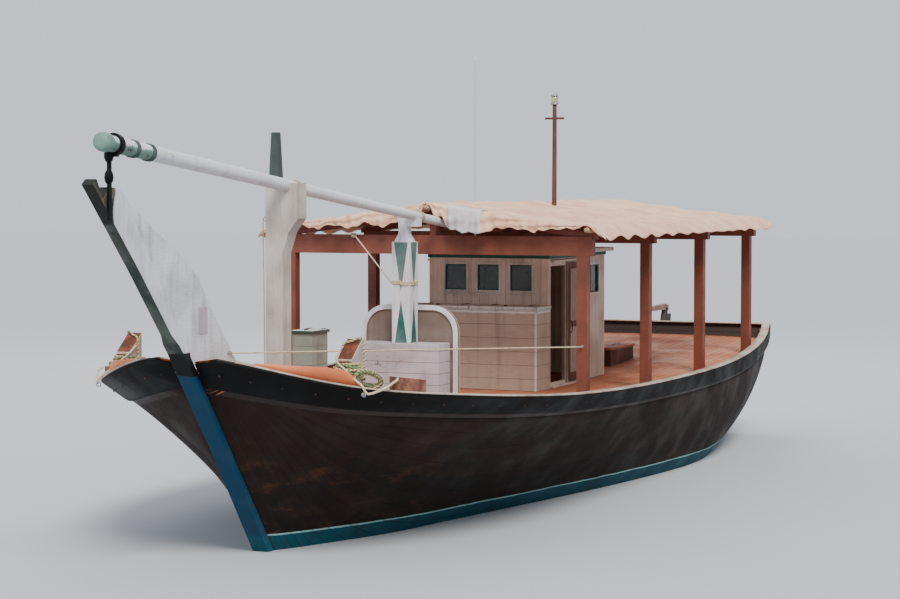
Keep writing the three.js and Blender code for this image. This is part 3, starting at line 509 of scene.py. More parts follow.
# Spar paint: white, with a green underside for the first stretch and dark spots where bands were lost.
# A point's height above the spar's axis is z less the axis' own height at that x.
sparPaint = {
    "axisSlope": 0.107825, "axisFoot": 3.669273, "greenFrom": 10.38, "spotsFrom": 10.5, "collarFrom": 11.13,
    "white": (208, 209, 214), "green": (88, 122, 110), "spots": (48, 56, 54), "collar": (96, 132, 118),
}


def sparColour(place):
    s = sparPaint
    x, _, z = apart(place)
    ragged = z - (x * s["axisSlope"] + s["axisFoot"]) + waver(place, 9.0, 4.0, 0.07)
    stretch = x + noise(place, 6.0) * 0.3
    green = spread(ragged, 0.025, -0.005) * spread(stretch, s["greenFrom"], s["greenFrom"] + 0.12)
    banded = spread(stretch, s["spotsFrom"], s["spotsFrom"] + 0.1)
    spots = spread(noise(place, 13.0, 2.0), 0.56, 0.62) * banded * spread(ragged, 0.03, 0.0)
    tone = mix(spots, mix(green, s["white"], s["green"]), s["spots"])
    return mix(spread(x, s["collarFrom"], s["collarFrom"] + 0.01), tone, s["collar"])


# Lid paint: a dark green edge, pale on top.
def lidColour(place):
    return mix(spread(facing(place, "Z"), 0.6, 0.9), (22, 58, 44), (176, 178, 168))


# Timberhead paint: the sawn top and the fore side brown, the outboard side bleached, pale along the rim.
# The top slopes, so a point's depth below it is the top's height at that x less z.
headPaint = {
    "topX": 7.93, "topZ": 2.65, "topSlope": 0.7857, "brown": (78, 36, 18), "brownPale": (116, 60, 34),
    "bleached": (172, 166, 158), "rim": (206, 188, 160),
}


def timberheadColour(place):
    h = headPaint
    x, _, z = apart(place)
    depth = h["topZ"] - (x - h["topX"]) * h["topSlope"] - z
    worn = noise(place, 22.0, 4.0) - 0.5
    brown = mix(spread(noise(place, 9.0, 4.0), 0.4, 0.62), h["brown"], h["brownPale"])
    tone = mix(spread(facing(place, "Y") + worn * 0.2, 0.55, 0.75), brown, h["bleached"])
    tone = mix(spread(depth + worn * 0.02, 0.030, 0.014, 0.0, 0.8), tone, h["rim"])
    return mix(spread(facing(place, "Z"), 0.5, 0.7), tone, brown)


# Rail chock paint: red brown sides and a rubbed pale top.
def chockColour(place):
    up = spread(facing(place, "Z") + noise(place, 14.0, 4.0) * 0.3, 0.75, 1.0)
    stain = mix(spread(noise(place, 7.0, 4.0), 0.42, 0.6), (92, 52, 40), (128, 84, 66))
    return mix(up, stain, (196, 172, 152))


# Casing paint: grey brown boards, with a painted highlight: a white edge along the top and down the fore
# corners.
casingPaint = {"corner": 1.030, "top": 2.56, "boards": (174, 150, 132), "paler": (212, 204, 196)}


def casingColour(place):
    c = casingPaint
    _, y, z = apart(place)
    # Painted highlight: white down the fore corners and along the top edge, its border ragged by noise.
    worn = waver(place, 8.0, 4.0, 0.04)
    corner = spread(abs(y) + worn * 0.5, c["corner"], c["corner"] + 0.010)
    corner = corner * spread(facing(place, "X"), 0.5, 0.7)
    return mix(corner.calc("MAXIMUM", spread(z + worn, c["top"], c["top"] + 0.012)), c["boards"], c["paler"])


# Breakwater paint: white rim and box, and in the recess behind the rim a darker brown and grey, mixed by
# noise.
def panelColour(place):
    # The recess colour: a noise between a brown and a darker grey brown.
    stain = mix(noise(place, 3.0, 4.0), (132, 114, 102), (84, 64, 54))
    return mix(spread(abs(apart(place)[0] - 3.0397), 0.022, 0.032), stain, (206, 206, 212))


# Each row: slot, paint, faded paint, wood under it, dirt, seam axis, grain axis, wear and streaks, and then
# what differs from boardLook. Paint is a colour or a function of place. U and V follow the piece's UV map.
wallLook = {"boardWidth": 0.14, "seamGap": 0.004, "boardShade": 0.08, "bump": 0.002}
boardFinishes = {
    "hull planking": ("hull_brown", hullColour, (44, 32, 26), (70, 50, 40), (14, 11, 10), "V", "U", 0.12, 0.2,
                      {"boardWidth": 0.21, "seamGap": 0.008, "roughLow": 0.55, "boardShade": 0.1,
                       "bump": 0.003, "specular": 0.14}),
    "stem timber": ("stem_blue", stemColour, (62, 78, 86), (84, 78, 68), (30, 32, 30), None, "Z", 0.16, 0.18,
                    {"specular": 0.16}),
    "rubbing strake": ("rail_black", (8, 7, 7), (18, 15, 15), (56, 43, 36), (6, 6, 6), None, "U", 0.18, 0.15,
                       {"roughHigh": 0.8, "specular": 0.12}),
    "bulwark planking": ("hull_brown", bulwarkColour, (92, 62, 50), (140, 104, 80), (40, 28, 22), None, "U",
                         0.18, 0.35, {}),
    "rail cap": ("rope_beige", (186, 170, 156), (150, 128, 112), (110, 72, 54), (62, 48, 40), None, "U",
                 0.36, 0.35, {}),
    "rail chock": ("timber_brown", chockColour, (112, 76, 62), (140, 112, 92), (48, 34, 28), None, "X",
                   0.25, 0.15, {}),
    "deck planking": ("deck_orange", (176, 98, 62), (150, 84, 56), (190, 142, 104), (62, 38, 28), "Y", "X",
                      0.34, 0.12, {"boardWidth": 0.125, "seamGap": 0.008, "boardShade": 0.3, "roughLow": 0.55,
                                   "roughHigh": 0.9}),
    "transom planking": ("hull_brown", hullColour, (74, 56, 46), (92, 68, 54), (24, 18, 16), "Z", "Y",
                         0.2, 0.35, {"boardWidth": 0.22}),
    "white posts": ("post_white", (186, 179, 171), (158, 148, 140), (118, 98, 82), (86, 76, 70), None, "Z",
                    0.3, 0.36, {}),
    "white fin": ("post_white", (208, 212, 218), (182, 184, 190), (122, 110, 98), (92, 86, 80), None, "X",
                  0.26, 0.34, {}),
    "bow spar": ("post_white", sparColour, (180, 178, 178), (126, 112, 96), (84, 76, 68), None, "X",
                 0.3, 0.16, {}),
    "dark spire": ("spire_dark", (44, 52, 50), (64, 74, 70), (90, 78, 66), (24, 26, 26), None, "Z",
                   0.32, 0.2, {}),
    "striped bitt": ("bitt_green", bittColour, (176, 172, 176), (112, 96, 80), (84, 76, 70), None, "Z",
                     0.26, 0.28, {}),
    "breakwater panel": ("post_white", panelColour, (176, 172, 176), (118, 98, 84), (84, 72, 64), None, "Y",
                         0.24, 0.35, {}),
    "white boards": ("post_white", (180, 174, 180), (160, 150, 156), (130, 108, 92), (92, 78, 74), "Z", "Y",
                     0.3, 0.25, {"boardWidth": 0.155}),
    "chest boards": ("post_white", (130, 132, 120), (112, 109, 99), (98, 82, 68), (74, 68, 60), "Z", "Y",
                     0.26, 0.35, {"boardWidth": 0.24, "seamGap": 0.004, "boardShade": 0.06}),
    "orange wash board": ("deck_orange", (206, 116, 74), (180, 98, 62), (150, 104, 80), (96, 50, 34), None,
                          "U", 0.2, 0.2, {}),
    "rib heads": ("deck_orange", (176, 92, 56), (146, 72, 44), (172, 124, 92), (62, 36, 26), None, "Z",
                  0.34, 0.2, {}),
    "chest lid": ("bitt_green", lidColour, (130, 136, 126), (110, 92, 78), (60, 60, 54), "Y", "X", 0.2, 0.35,
                  {"boardWidth": 0.14}),
    "red brown timber": ("timber_brown", (96, 48, 36), (78, 42, 32), (122, 84, 62), (36, 24, 20), None, "Z",
                         0.24, 0.2, {}),
    "canopy beams": ("timber_brown", (118, 60, 44), (98, 53, 39), (134, 92, 68), (38, 26, 20), None, "Y",
                     0.24, 0.15, {}),
    "bare poles": ("pole_tan", (186, 150, 118), (150, 120, 96), (206, 178, 148), (86, 64, 50), None, "X",
                   0.3, 0.1, {"roughLow": 0.7, "roughHigh": 0.92}),
    "wheelhouse boards": ("house_beige", (224, 199, 181), (204, 178, 160), (122, 102, 90), (92, 76, 68),
                          "Y", "Z", 0.18, 0.22, wallLook),
    "wheelhouse side boards": ("house_beige", (206, 186, 170), (186, 164, 148), (122, 102, 90), (92, 76, 68),
                               "X", "Z", 0.18, 0.22, wallLook),
    "casing boards": ("house_beige", casingColour, (148, 128, 114), (112, 92, 80), (76, 62, 54), "Z", "Y",
                      0.26, 0.3, {"boardWidth": 0.2, "seamGap": 0.005, "boardShade": 0.1}),
    "sliding door boards": ("timber_brown", (168, 148, 134), (146, 128, 116), (116, 94, 80), (80, 64, 54),
                            "X", "Z", 0.24, 0.2, {"boardWidth": 0.11, "boardShade": 0.14}),
    "bare plate": ("post_white", (176, 168, 174), (160, 152, 158), (146, 138, 140), (120, 112, 112),
                   None, "Z", 0.15, 0.2, {"bump": 0.001}),
    "pale trim": ("house_beige", (214, 204, 194), (186, 176, 168), (128, 108, 92), (86, 74, 66), None, "Z",
                  0.3, 0.35, {}),
    "white lid boards": ("post_white", (206, 200, 194), (182, 172, 164), (128, 106, 90), (84, 72, 66),
                         "Y", "X", 0.3, 0.35, {"boardWidth": 0.178}),
    "rudder boards": ("hull_brown", hullColour, (74, 56, 46), (92, 68, 54), (24, 18, 16), "X", "Z",
                      0.25, 0.35, {"boardWidth": 0.24}),
    "timberhead": ("timber_brown", timberheadColour, (96, 52, 36), (150, 104, 74), (44, 28, 20), None, "Z",
                   0.2, 0.35, {}),
    "varnished timber": ("timber_brown", (120, 66, 38), (96, 52, 32), (160, 116, 80), (46, 28, 18), None, "Y",
                         0.18, 0.0, {"roughLow": 0.25, "roughHigh": 0.5}),
    "brown staff": ("timber_brown", (96, 52, 44), (80, 48, 42), (140, 104, 84), (44, 30, 26), None, "Z",
                    0.3, 0.1, {}),
    "green trim": ("bitt_green", (24, 74, 62), (44, 88, 76), (110, 92, 78), (30, 36, 32), None, "Y",
                   0.26, 0.35, {}),
}
for name, (slot, *values) in boardFinishes.items():
    finishes[name] = (boardMaterial(name, *values), slot)
print("board materials built")


# Rope: strands wind round the tube, as a wave over its length and the way round it.
ropeLook = {"lay": 2.4, "strands": 6.0, "bump": 0.16}


def ropeMaterial(name, light, dark, diameter):
    material, place, uv = newMaterial(name)
    u, v, _ = apart(uv)
    phase = u * (ropeLook["lay"] / diameter) + v * (ropeLook["strands"] / (math.pi * diameter))
    wave = abs(phase.calc("SINE"))
    tone = mix(spread(wave, 0.15, 0.8), dark, light)
    return dressed(material, {
        "Base Color": mix(spread(noise(place, 11.0, 4.0, 0.6), 0.45, 0.75, 0.0, 0.6), tone, dark),
        "Normal": bump(wave, diameter * ropeLook["bump"]), "Roughness": 0.93, "Specular IOR Level": 0.2,
    })


# Iron and bronze: dark metal broken by rust or verdigris where a noise is high.
def metalMaterial(name, base, crust, amount, roughness):
    material, place, _ = newMaterial(name)
    mask = useGroup(material.node_tree, wearGroup, Vector=place, Size=3.0, Amount=amount)["Mask"]
    return dressed(material, {
        "Base Color": mix(mask, base, crust), "Metallic": spread(mask, 0.0, 1.0, 0.85, 0.1),
        "Roughness": spread(mask, 0.0, 1.0, roughness, 0.9), "Normal": bump(noise(place, 60.0, 4.0), 0.0012),
    })


# Canvas: a plain weave of two waves over the cloth's own lengths, sewn from panels and stained in broad
# patches.
clothLook = {"weave": 700.0, "weaveDepth": 0.15, "crumple": 1.2, "panelWidth": 1.85, "seamGap": 0.03,
             "panelShade": 0.3, "seamStain": 0.45, "seamDepth": 0.6}


def clothMaterial(name, light, dark, stained):
    c = clothLook
    material, place, uv = newMaterial(name)
    u, v, _ = apart(uv)
    weave = (u * c["weave"]).calc("SINE") * (v * c["weave"]).calc("SINE")
    tone = mix(spread(noise(place, 1.6, 5.0, 0.62), 0.36, 0.66), light, dark)
    tone = mix(spread(noise(place, 5.5, 5.0, 0.68), 0.52, 0.74, 0.0, 0.5), tone, stained)
    panels = useGroup(material.node_tree, boardsGroup, Across=u, Width=c["panelWidth"], Gap=c["seamGap"])
    tone = mix(panels["Board"] * c["panelShade"], tone, dark)
    height = weave * c["weaveDepth"] + noise(place, 14.0, 4.0) * c["crumple"]
    height = height - panels["Seam"] * c["seamDepth"]
    return dressed(material, {
        "Base Color": mix(panels["Seam"] * c["seamStain"], tone, stained), "Normal": bump(height, 0.012, 0.8),
        "Roughness": 0.95, "Specular IOR Level": 0.15, "Sheen Weight": 0.15,
    })


# Window glass: dark, with dust in patches.
def paneMaterial(name, clear, dusty):
    material, place, _ = newMaterial(name)
    dust = noise(place, 7.0, 5.0, 0.65)
    return dressed(material, {
        "Base Color": mix(spread(dust, 0.45, 0.75, 0.0, 0.5), clear, dusty),
        "Roughness": spread(dust, 0.4, 0.75, 0.06, 0.4), "Specular IOR Level": 0.6, "Alpha": 0.82,
    })


# Each row: slot, the kind of material, and its values.
otherFinishes = {
    "beige rope": ("rope_beige", ropeMaterial, (196, 176, 138), (112, 96, 68), 0.036),
    "green rope": ("rope_beige", ropeMaterial, (120, 132, 96), (64, 76, 54), 0.036),
    "thin lashing": ("rope_beige", ropeMaterial, (188, 170, 140), (104, 88, 66), 0.016),
    "dark lashing": ("rope_beige", ropeMaterial, (84, 100, 96), (34, 44, 42), 0.012),
    "pale line": ("rope_beige", ropeMaterial, (214, 200, 172), (150, 132, 104), 0.02),
    "frosted lamp": ("pane", metalMaterial, (196, 196, 160), (150, 146, 120), 0.3, 0.3),
    "painted rod": ("post_white", metalMaterial, (206, 206, 206), (150, 142, 132), 0.3, 0.5),
    "dark iron": ("iron_dark", metalMaterial, (46, 44, 44), (92, 54, 36), 0.7, 0.5),
    "tarred iron": ("iron_dark", metalMaterial, (22, 22, 22), (48, 38, 32), 0.35, 0.55),
    "galvanised iron": ("iron_dark", metalMaterial, (150, 152, 156), (112, 84, 66), 0.45, 0.45),
    "bronze": ("bronze", metalMaterial, (156, 116, 62), (74, 108, 88), 0.5, 0.35),
    "canopy canvas": ("cloth_pink", clothMaterial, (242, 200, 168), (220, 168, 140), (160, 112, 90)),
    "pale cloth": ("post_white", clothMaterial, (218, 214, 216), (196, 190, 194), (150, 138, 136)),
    "dusty glass": ("pane", paneMaterial, (26, 34, 34), (110, 104, 94)),
}
for name, (slot, makeMaterial, *values) in otherFinishes.items():
    material = makeMaterial(name, *[tint(value) if isinstance(value, tuple) else value for value in values])
    finishes[name] = (material, slot)
print("rope, metal, cloth and glass built")


# Hull lines, the same curves as the solids. A curve is (rise, run, power): it rises from nothing by its
# rise over its run, as that power of the distance.
hullLines = {
    "stemHalf": 0.110, "stemWater": 7.350, "stemRake": 0.8, "stemRail": 9.350, "keelTop": -1.400,
    "bowStart": 3.750, "runStart": -2.000, "sheerLow": -1.000, "railLow": 1.600, "beamHalf": 2.900,
    "bulwark": 0.280, "foreEnd": 9.165, "forefoot": 5.0, "forefootRun": 2.35, "keelAft": -3.0,
    "aftSheer": (0.320, 7.4, 1.8), "foreSheer": (0.150, 5.5, 2.23), "bowSheer": (0.290, 2.0, 3),
    "sternRun": (0.850, 6.4, 2), "keelRise": (1.150, 4.4, 1.8), "bowPowers": (2.2, 0.58),
    "deckRise": 0.190, "deckRiseFrom": 7.5, "deckRiseRun": 1.85,
    "transomX": -7.2, "transomZ": -0.35, "transomRake": 0.5,
}
fullness = np.array([
    [-8.9, 0.36, 0.70, 0.89, 0.98], [-7.2, 0.33, 0.65, 0.86, 0.97], [-5.0, 0.30, 0.60, 0.83, 0.96],
    [-2.5, 0.34, 0.63, 0.81, 0.94], [0.0, 0.28, 0.52, 0.70, 0.88], [2.6, 0.17, 0.34, 0.53, 0.78],
    [4.9, 0.10, 0.21, 0.38, 0.66], [7.35, 0.06, 0.16, 0.33, 0.64], [9.35, 0.14, 0.34, 0.55, 0.78]])
heightShares = np.array([0.0, 0.12, 0.3, 0.5, 0.75, 1.0])


def curve(distance, rise, run, power):
    return rise * (np.maximum(distance, 0) / run) ** power


def railZ(x):
    h = hullLines
    aft = h["railLow"] + curve(h["sheerLow"] - x, *h["aftSheer"])
    fore = h["railLow"] + curve(x - h["sheerLow"], *h["foreSheer"])
    fore = fore + curve(x - h["stemWater"], *h["bowSheer"])
    return np.where(x < h["sheerLow"], aft, fore)


def railY(x):
    h = hullLines
    share = np.clip((h["stemRail"] - x) / (h["stemRail"] - h["bowStart"]), 0, 1)
    inner, outer = h["bowPowers"]
    bow = h["stemHalf"] + (h["beamHalf"] - h["stemHalf"]) * (1 - (1 - share) ** inner) ** outer
    return np.where(x > h["bowStart"], bow, h["beamHalf"] - curve(h["runStart"] - x, *h["sternRun"]))


# The rail's slope in plan, and how much longer a step along it is than a step along X.
def railSlope(x, step=0.002):
    slope = (railY(x + step) - railY(x - step)) / (2 * step)
    return slope, np.hypot(slope, 1)


def rabbetZ(x):
    h = hullLines
    stem = (x - h["stemWater"]) / h["stemRake"]
    foot = h["keelTop"] - h["keelTop"] * ((x - h["forefoot"]) / h["forefootRun"]) ** 2
    keel = h["keelTop"] + curve(h["keelAft"] - x, *h["keelRise"])
    return np.where(x > h["stemWater"], stem, np.where(x > h["forefoot"], foot, keel))


def deckZ(x):
    h = hullLines
    return railZ(x) - h["bulwark"] + h["deckRise"] * np.maximum(x - h["deckRiseFrom"], 0) / h["deckRiseRun"]


def skinY(x, z):
    share = np.clip((z - rabbetZ(x)) / np.maximum(0.001, railZ(x) - rabbetZ(x)), 0, 1)
    columns = np.stack([between(fullness[:, 0], fullness[:, k + 1], x) for k in range(4)])
    ys = np.concatenate([np.zeros((1,) + np.shape(x)), columns, np.ones((1,) + np.shape(x))])
    return hullLines["stemHalf"] + (railY(x) - hullLines["stemHalf"]) * between(heightShares, ys, share)


# x where a line of height zOf(x) meets the raked transom, by repeated substitution.
def transomX(zOf, off=0.0):
    h = hullLines
    x = np.full(np.shape(zOf(np.array(h["transomX"]))), h["transomX"])
    for _ in range(40):
        x = h["transomX"] - h["transomRake"] * (zOf(x) - h["transomZ"]) - off
    return x


# Stations from the transom to the fore end, crowded towards the bow.
def stations(start, foreEnd, count, crowd):
    u = np.linspace(0, 1, count)[:, None]
    return start + (foreEnd - start) * (1 - (1 - u) ** crowd)


# Hull planking: each station from the transom to the stem has points at even shares of the height from
# rabbet to deck edge. One closed skin runs round both sides, with the deck edges joined across.
planking = {"stations": 150, "shares": 34, "crowd": 1.25, "leastHeight": 0.008}


def hullPoints():
    shares = np.linspace(0, 1, planking["shares"])
    sideHeight = lambda x: np.maximum(deckZ(x), rabbetZ(x) + planking["leastHeight"]) - rabbetZ(x)
    heightAt = lambda x: rabbetZ(x) + sideHeight(x) * shares
    x = stations(transomX(heightAt), hullLines["foreEnd"], planking["stations"], planking["crowd"])
    z = heightAt(x)
    port = np.stack([x, skinY(x, z), z], axis=-1)
    return np.concatenate([port[:, ::-1], port * sides["starboard"]], axis=1)


makeObject("hullPlanking", [closedPart(hullPoints())], "hull planking", stands=("hull_body",))
print("hull planking laid")


# Pieces along the rail: a profile of (out from the skin, height below the rail) carried from
# the transom to the stem. out is measured square to the rail in plan.
railLook = {"stations": 170, "crowd": 1.7, "lastRabbet": 9.34, "lastSlope": 9.3, "clearOfStem": 0.1135}


def railPath(profile, foreEnd, aftOff):
    out, down = np.array(profile).T
    heightAt = lambda x: np.maximum(railZ(x) - down, rabbetZ(np.minimum(x, railLook["lastRabbet"])) + 0.002)
    x = stations(transomX(heightAt, aftOff), foreEnd, railLook["stations"], railLook["crowd"])
    z = heightAt(x)
    slope, length = railSlope(np.minimum(x, railLook["lastSlope"]))
    y = np.maximum(skinY(x, z) + out / length, railLook["clearOfStem"])
    return np.stack([x - slope / length * out, y, z], axis=-1)


def bothSides(points):
    return {"port": points, "starboard": (points * sides["starboard"])[:, ::-1]}


railPieces = {
    "bulwark": {
        "profile": [(0.0, 0.282), (0.0, 0.012), (-0.012, 0.0), (-0.078, 0.0), (-0.09, 0.012), (-0.09, 0.282)],
        "foreEnd": 9.30, "aftOff": 0.0, "finish": "bulwark planking", "stands": "bulwark"},
    "rubbingStrake": {
        "profile": [(0.004, 0.234), (0.045, 0.232), (0.060, 0.205), (0.060, 0.030), (0.048, 0.006),
                    (0.004, 0.004)],
        "foreEnd": 9.28, "aftOff": 0.062, "finish": "rubbing strake", "stands": "rubbing_strake"},
    "railCap": {
        "profile": [(0.030, 0.002), (0.034, -0.010), (0.028, -0.020), (-0.104, -0.020), (-0.108, -0.010),
                    (-0.102, 0.002)],
        "foreEnd": 9.22, "aftOff": 0.0, "finish": "rail cap", "stands": None},
}
for name, piece in railPieces.items():
    for side, grid in bothSides(railPath(piece["profile"], piece["foreEnd"], piece["aftOff"])).items():
        stands = (f"{piece['stands']}_{side}",) if piece["stands"] else ()
        makeObject(f"{name}_{side}", [closedPart(grid)], piece["finish"], stands=stands)


# A cap across the transom, lapped over the ends of the rail caps.
transomCap = {"profile": [(0.052, 0.003), (0.058, 0.014), (0.052, 0.026), (-0.052, 0.026), (-0.058, 0.014),
                          (-0.052, 0.003)],
              "beyond": 0.036, "forward": 0.03, "columns": 24}
capX = float(transomX(railZ)) + transomCap["forward"]
capHalf = float(railY(capX)) + transomCap["beyond"]
capLine = np.linspace(-capHalf, capHalf, transomCap["columns"])
capGrid = np.array([[(capX + off, y, float(railZ(capX)) + lift) for off, lift in transomCap["profile"]]
                    for y in capLine])
makeObject("transomCap", [closedPart(capGrid)], "rail cap")


# Wash boards: a plank on edge along the inside of each rail ahead of the timberheads. Its height above
# the rail grows evenly from the stem aft, then falls to nothing in a quarter round. A rim row is (out from
# the rail, share of the height, lift).
washBoard = {"fore": 9.12, "aft": 8.25, "foot": 0.014, "height": 0.165, "least": 0.020,
             "rise": 0.55, "fall": 0.20,
             "rim": [(-0.050, 0, 0), (-0.050, 1, -0.012), (-0.057, 1, -0.003), (-0.068, 1, 0),
                     (-0.079, 1, -0.003), (-0.086, 1, -0.012), (-0.086, 0, 0)]}


def washBoardPoints():
    w = washBoard
    x = np.linspace(w["fore"], w["aft"], 60)[:, None]
    growth = np.clip((w["fore"] - x) / w["rise"], 0, 1) ** 0.8
    ending = np.sqrt(1 - np.clip(1 - (x - w["aft"]) / w["fall"], 0, 1) ** 2)
    height = w["least"] + (w["height"] - w["least"]) * growth * ending
    slope, length = railSlope(x)
    out, share, lift = np.array(w["rim"]).T
    return np.stack([x - slope / length * out, railY(x) + out / length,
                     railZ(x) + w["foot"] + share * height + lift], axis=-1)


for side, grid in bothSides(washBoardPoints()).items():
    makeObject(f"washBoard_{side}", [closedPart(grid)], "orange wash board")


# Rib heads stand inside each bulwark from the deck to the cap. Each is a short post that leans with the
# skin: four corners, set off along and square to the rail in plan, at five heights.
ribs = {"first": -7.75, "last": 8.55, "every": 0.62, "width": 0.078, "depth": 0.052, "outer": -0.084,
        "top": 0.004, "foot": 0.012, "corners": [(-0.5, 0), (0.5, 0), (0.42, 1), (-0.42, 1)]}


def ribPoints(x):
    r = ribs
    z = railZ(x) - np.linspace(r["top"], float(railZ(x) - deckZ(x)) - r["foot"], 5)[:, None]
    y = skinY(np.full((5, 1), x), z)
    slope, length = railSlope(x)
    along, inward = np.array(r["corners"]).T
    off = r["outer"] - inward * r["depth"]
    px = x + (along * r["width"] - slope * off) / length + 0 * z
    py = y + (slope * along * r["width"] + off) / length
    return np.stack([px, py, z + 0 * px], axis=-1)


ribGrids = [ribPoints(x) for x in np.arange(ribs["first"], ribs["last"], ribs["every"])]
for side, mirror in sides.items():
    makeObject(f"ribHeads_{side}", [closedPart(grid * mirror) for grid in ribGrids], "rib heads", bevel=0.006)
print("rails fitted")


# Timbers that keep the solid's shape, with their edges rounded: node, finish and width of the edge, by body.
softEdges = {
    "hull": [
        ("keel", "stem timber", 0.012), ("stem_post", "stem timber", 0.014),
        ("transom", "transom planking", 0.008), ("stem_fin", "white fin", 0.012),
        ("fork_post", "white posts", 0.012), ("fork_spire", "dark spire", 0.01),
        ("striped_bitt", "striped bitt", 0.012), ("breakwater_panel", "breakwater panel", 0.008),
        ("breakwater_box", "white boards", 0.008), ("chest_body", "chest boards", 0.006),
        ("casing_body", "casing boards", 0.01), ("hatch_coaming", "red brown timber", 0.008),
        ("wheelhouse_front", "wheelhouse boards", 0.004), ("wheelhouse_after", "wheelhouse boards", 0.004),
        ("wheelhouse_port", "wheelhouse side boards", 0.004),
        ("wheelhouse_starboard", "wheelhouse side boards", 0.004), ("wheelhouse_roof", "pale trim", 0.012),
        ("helm_console", "red brown timber", 0.008), ("stem_iron", "tarred iron", 0.006),
        ("timberhead_port", "timberhead", 0.008), ("timberhead_starboard", "timberhead", 0.008),
        ("rail_chock_port", "rail chock", 0.016), ("rail_chock_starboard", "rail chock", 0.016),
        *[(f"canopy_frame_{k}", "canopy beams", 0.01) for k in (1, 2, 3, 4)],
    ],
    "chest_cover": [("chest_lid", "chest lid", 0.007)],
    "casing_cover_port": [("casing_lid_port", "white lid boards", 0.007)],
    "casing_cover_starboard": [("casing_lid_starboard", "white lid boards", 0.007)],
    "hatch_cover": [("hatch_lid", "deck planking", 0.007)],
    "steering": [("rudder", "rudder boards", 0.007), ("tiller", "varnished timber", 0.016)],
    "sliding_door_port": [("door_port", "sliding door boards", 0.007)],
    "sliding_door_starboard": [("door_starboard", "sliding door boards", 0.007)],
}
for body, rows in softEdges.items():
    for node, finish, width in rows:
        softened(node, finish, width, body)
panes = [f"side_pane_{side}" for side in sides] + [f"front_pane_{k}" for k in (1, 2, 3)]
keptNodes = {"deck planking": ["deck"], "dusty glass": panes}
for finish, nodes in keptNodes.items():
    for node in nodes:
        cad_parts[node].data.materials.clear()
        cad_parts[node].data.materials.append(finishes[finish][0])
print("timbers and boards softened")


# Bow spar: a long taper with a slight waviness from the adze, a swelling collar at the fore end, given as
# (distance, radius) pairs, and a rounded after end. The radius otherwise falls evenly from end to end.
spar = {"fore": np.array([11.275, 0.150, 4.885]), "aft": np.array([1.741, 0.150, 3.857]),
        "foreRadius": 0.090, "aftRadius": 0.060, "wave": 0.0012,
        "collar": np.array([(-0.04, 0.030), (-0.038, 0.055), (-0.028, 0.080), (-0.01, 0.095), (0.02, 0.1025),
                            (0.06, 0.104), (0.10, 0.101), (0.128, 0.094), (0.142, 0.086), (0.150, 0.0885)]),
        "end": (0.056, 0.047), "bands": (0.30, 0.62, 0.95), "seats": (7.0, 3.22), "seatOff": 0.16}
sparLength = float(np.linalg.norm(spar["aft"] - spar["fore"]))
sparAlong = (spar["aft"] - spar["fore"]) / sparLength


def sparRadius(s):
    return spar["foreRadius"] + (spar["aftRadius"] - spar["foreRadius"]) * s / sparLength


def sparSurface():
    s = np.concatenate([spar["collar"][:, 0], np.linspace(0.17, sparLength - 0.02, 120),
                        [sparLength - 0.006, sparLength]])
    radius = sparRadius(np.clip(s, 0, None)) - spar["wave"] * (1 - np.sin(s * 5.1) * np.sin(s * 1.7 + 1.0))
    radius[:len(spar["collar"])] = spar["collar"][:, 1]
    radius[-2:] = spar["end"]
    return tubePart(spar["fore"] + s[:, None] * sparAlong, radius, 32, alongY)


makeObject("barSpar", [sparSurface()], "bow spar", stands=("bow_spar",))


# Turns of thin line round the spar: a helix of so many turns about a point of its axis.
def lashing(s, off, turns, width, lineRadius):
    t = np.linspace(0, 1, int(turns * 26) + 2)
    axis, side, rise = squareTo(sparAlong)
    turn = (fullTurn * turns * t)[:, None]
    centre = spar["fore"] + (s + off) * sparAlong
    path = (centre + ((t - 0.5) * width)[:, None] * axis
            + (sparRadius(s) + lineRadius) * (np.cos(turn) * side + np.sin(turn) * rise))
    return tubePart(path, lineRadius, 8, axis)


makeObject("sparLashings", [lashing(s, 0, 6, 0.07, 0.0055) for s in spar["bands"]], "dark lashing")
seatWays = [sparLength * (spar["fore"][0] - x) / (spar["fore"][0] - spar["aft"][0]) for x in spar["seats"]]
makeObject("sparSeatLashings", [lashing(s, spar["seatOff"], 5, 0.075, 0.007) for s in seatWays],
           "thin lashing")
print("spar rigged")


# Distance from a squared post's centre to its surface, moved outwards by some way: in the direction
# (cos, sin) it is one over the eighth root of (cos / a)^8 + (sin / b)^8, which rounds the corners.
def squareReach(around, halfX, halfY, off):
    across = (np.abs(np.cos(around)) / (halfX + off)) ** 8 + (np.abs(np.sin(around)) / (halfY + off)) ** 8
    return across ** -0.125


# Turns of rope round the two timberheads: each turn lies on the post or on the turns below it, tilted
# a little its own way. Height is a slow wave over the whole winding plus the tilt of each turn. A winding
# is (turns, layer, reach up and down, seed, finish).
timberheads = {"centre": (8.07, 1.475, 2.272), "halfX": 0.14, "halfY": 0.095, "rope": 0.0155,
               "windings": ((7, 0.006, 0.098, 0.3, "beige rope"), (5, 0.024, 0.075, 1.9, "beige rope"),
                            (4, 0.018, 0.090, 4.1, "green rope"))}


def windRope(turns, layer, reach, seed):
    t = timberheads
    s = np.linspace(0, 1, turns * 46)
    around = fullTurn * turns * s + seed
    off = t["rope"] + layer * (0.55 + 0.45 * np.sin(around * 0.37 + seed))
    off = off + 0.003 * np.sin(around * 2.3 + seed)
    up = (reach * np.sin(fullTurn * 0.8 * s * turns / 4 + seed) * 0.8 + 0.028 * np.sin(around + 2 * seed)
          + 0.007 * np.sin(around * 2.7 + seed))
    out = squareReach(around, t["halfX"], t["halfY"], off)
    return np.stack([out * np.cos(around), out * np.sin(around), up], axis=-1) + t["centre"]


# A strand carried over the sawn top and down behind the post.
overTop = {"radius": 0.0125, "path": [
    (7.955, 1.598, 2.22), (7.93, 1.592, 2.40), (7.922, 1.588, 2.55), (7.925, 1.580, 2.64),
    (7.945, 1.55, 2.667), (7.99, 1.47, 2.628), (8.03, 1.39, 2.600), (8.05, 1.364, 2.52),
    (8.055, 1.362, 2.36), (8.06, 1.358, 2.22)]}

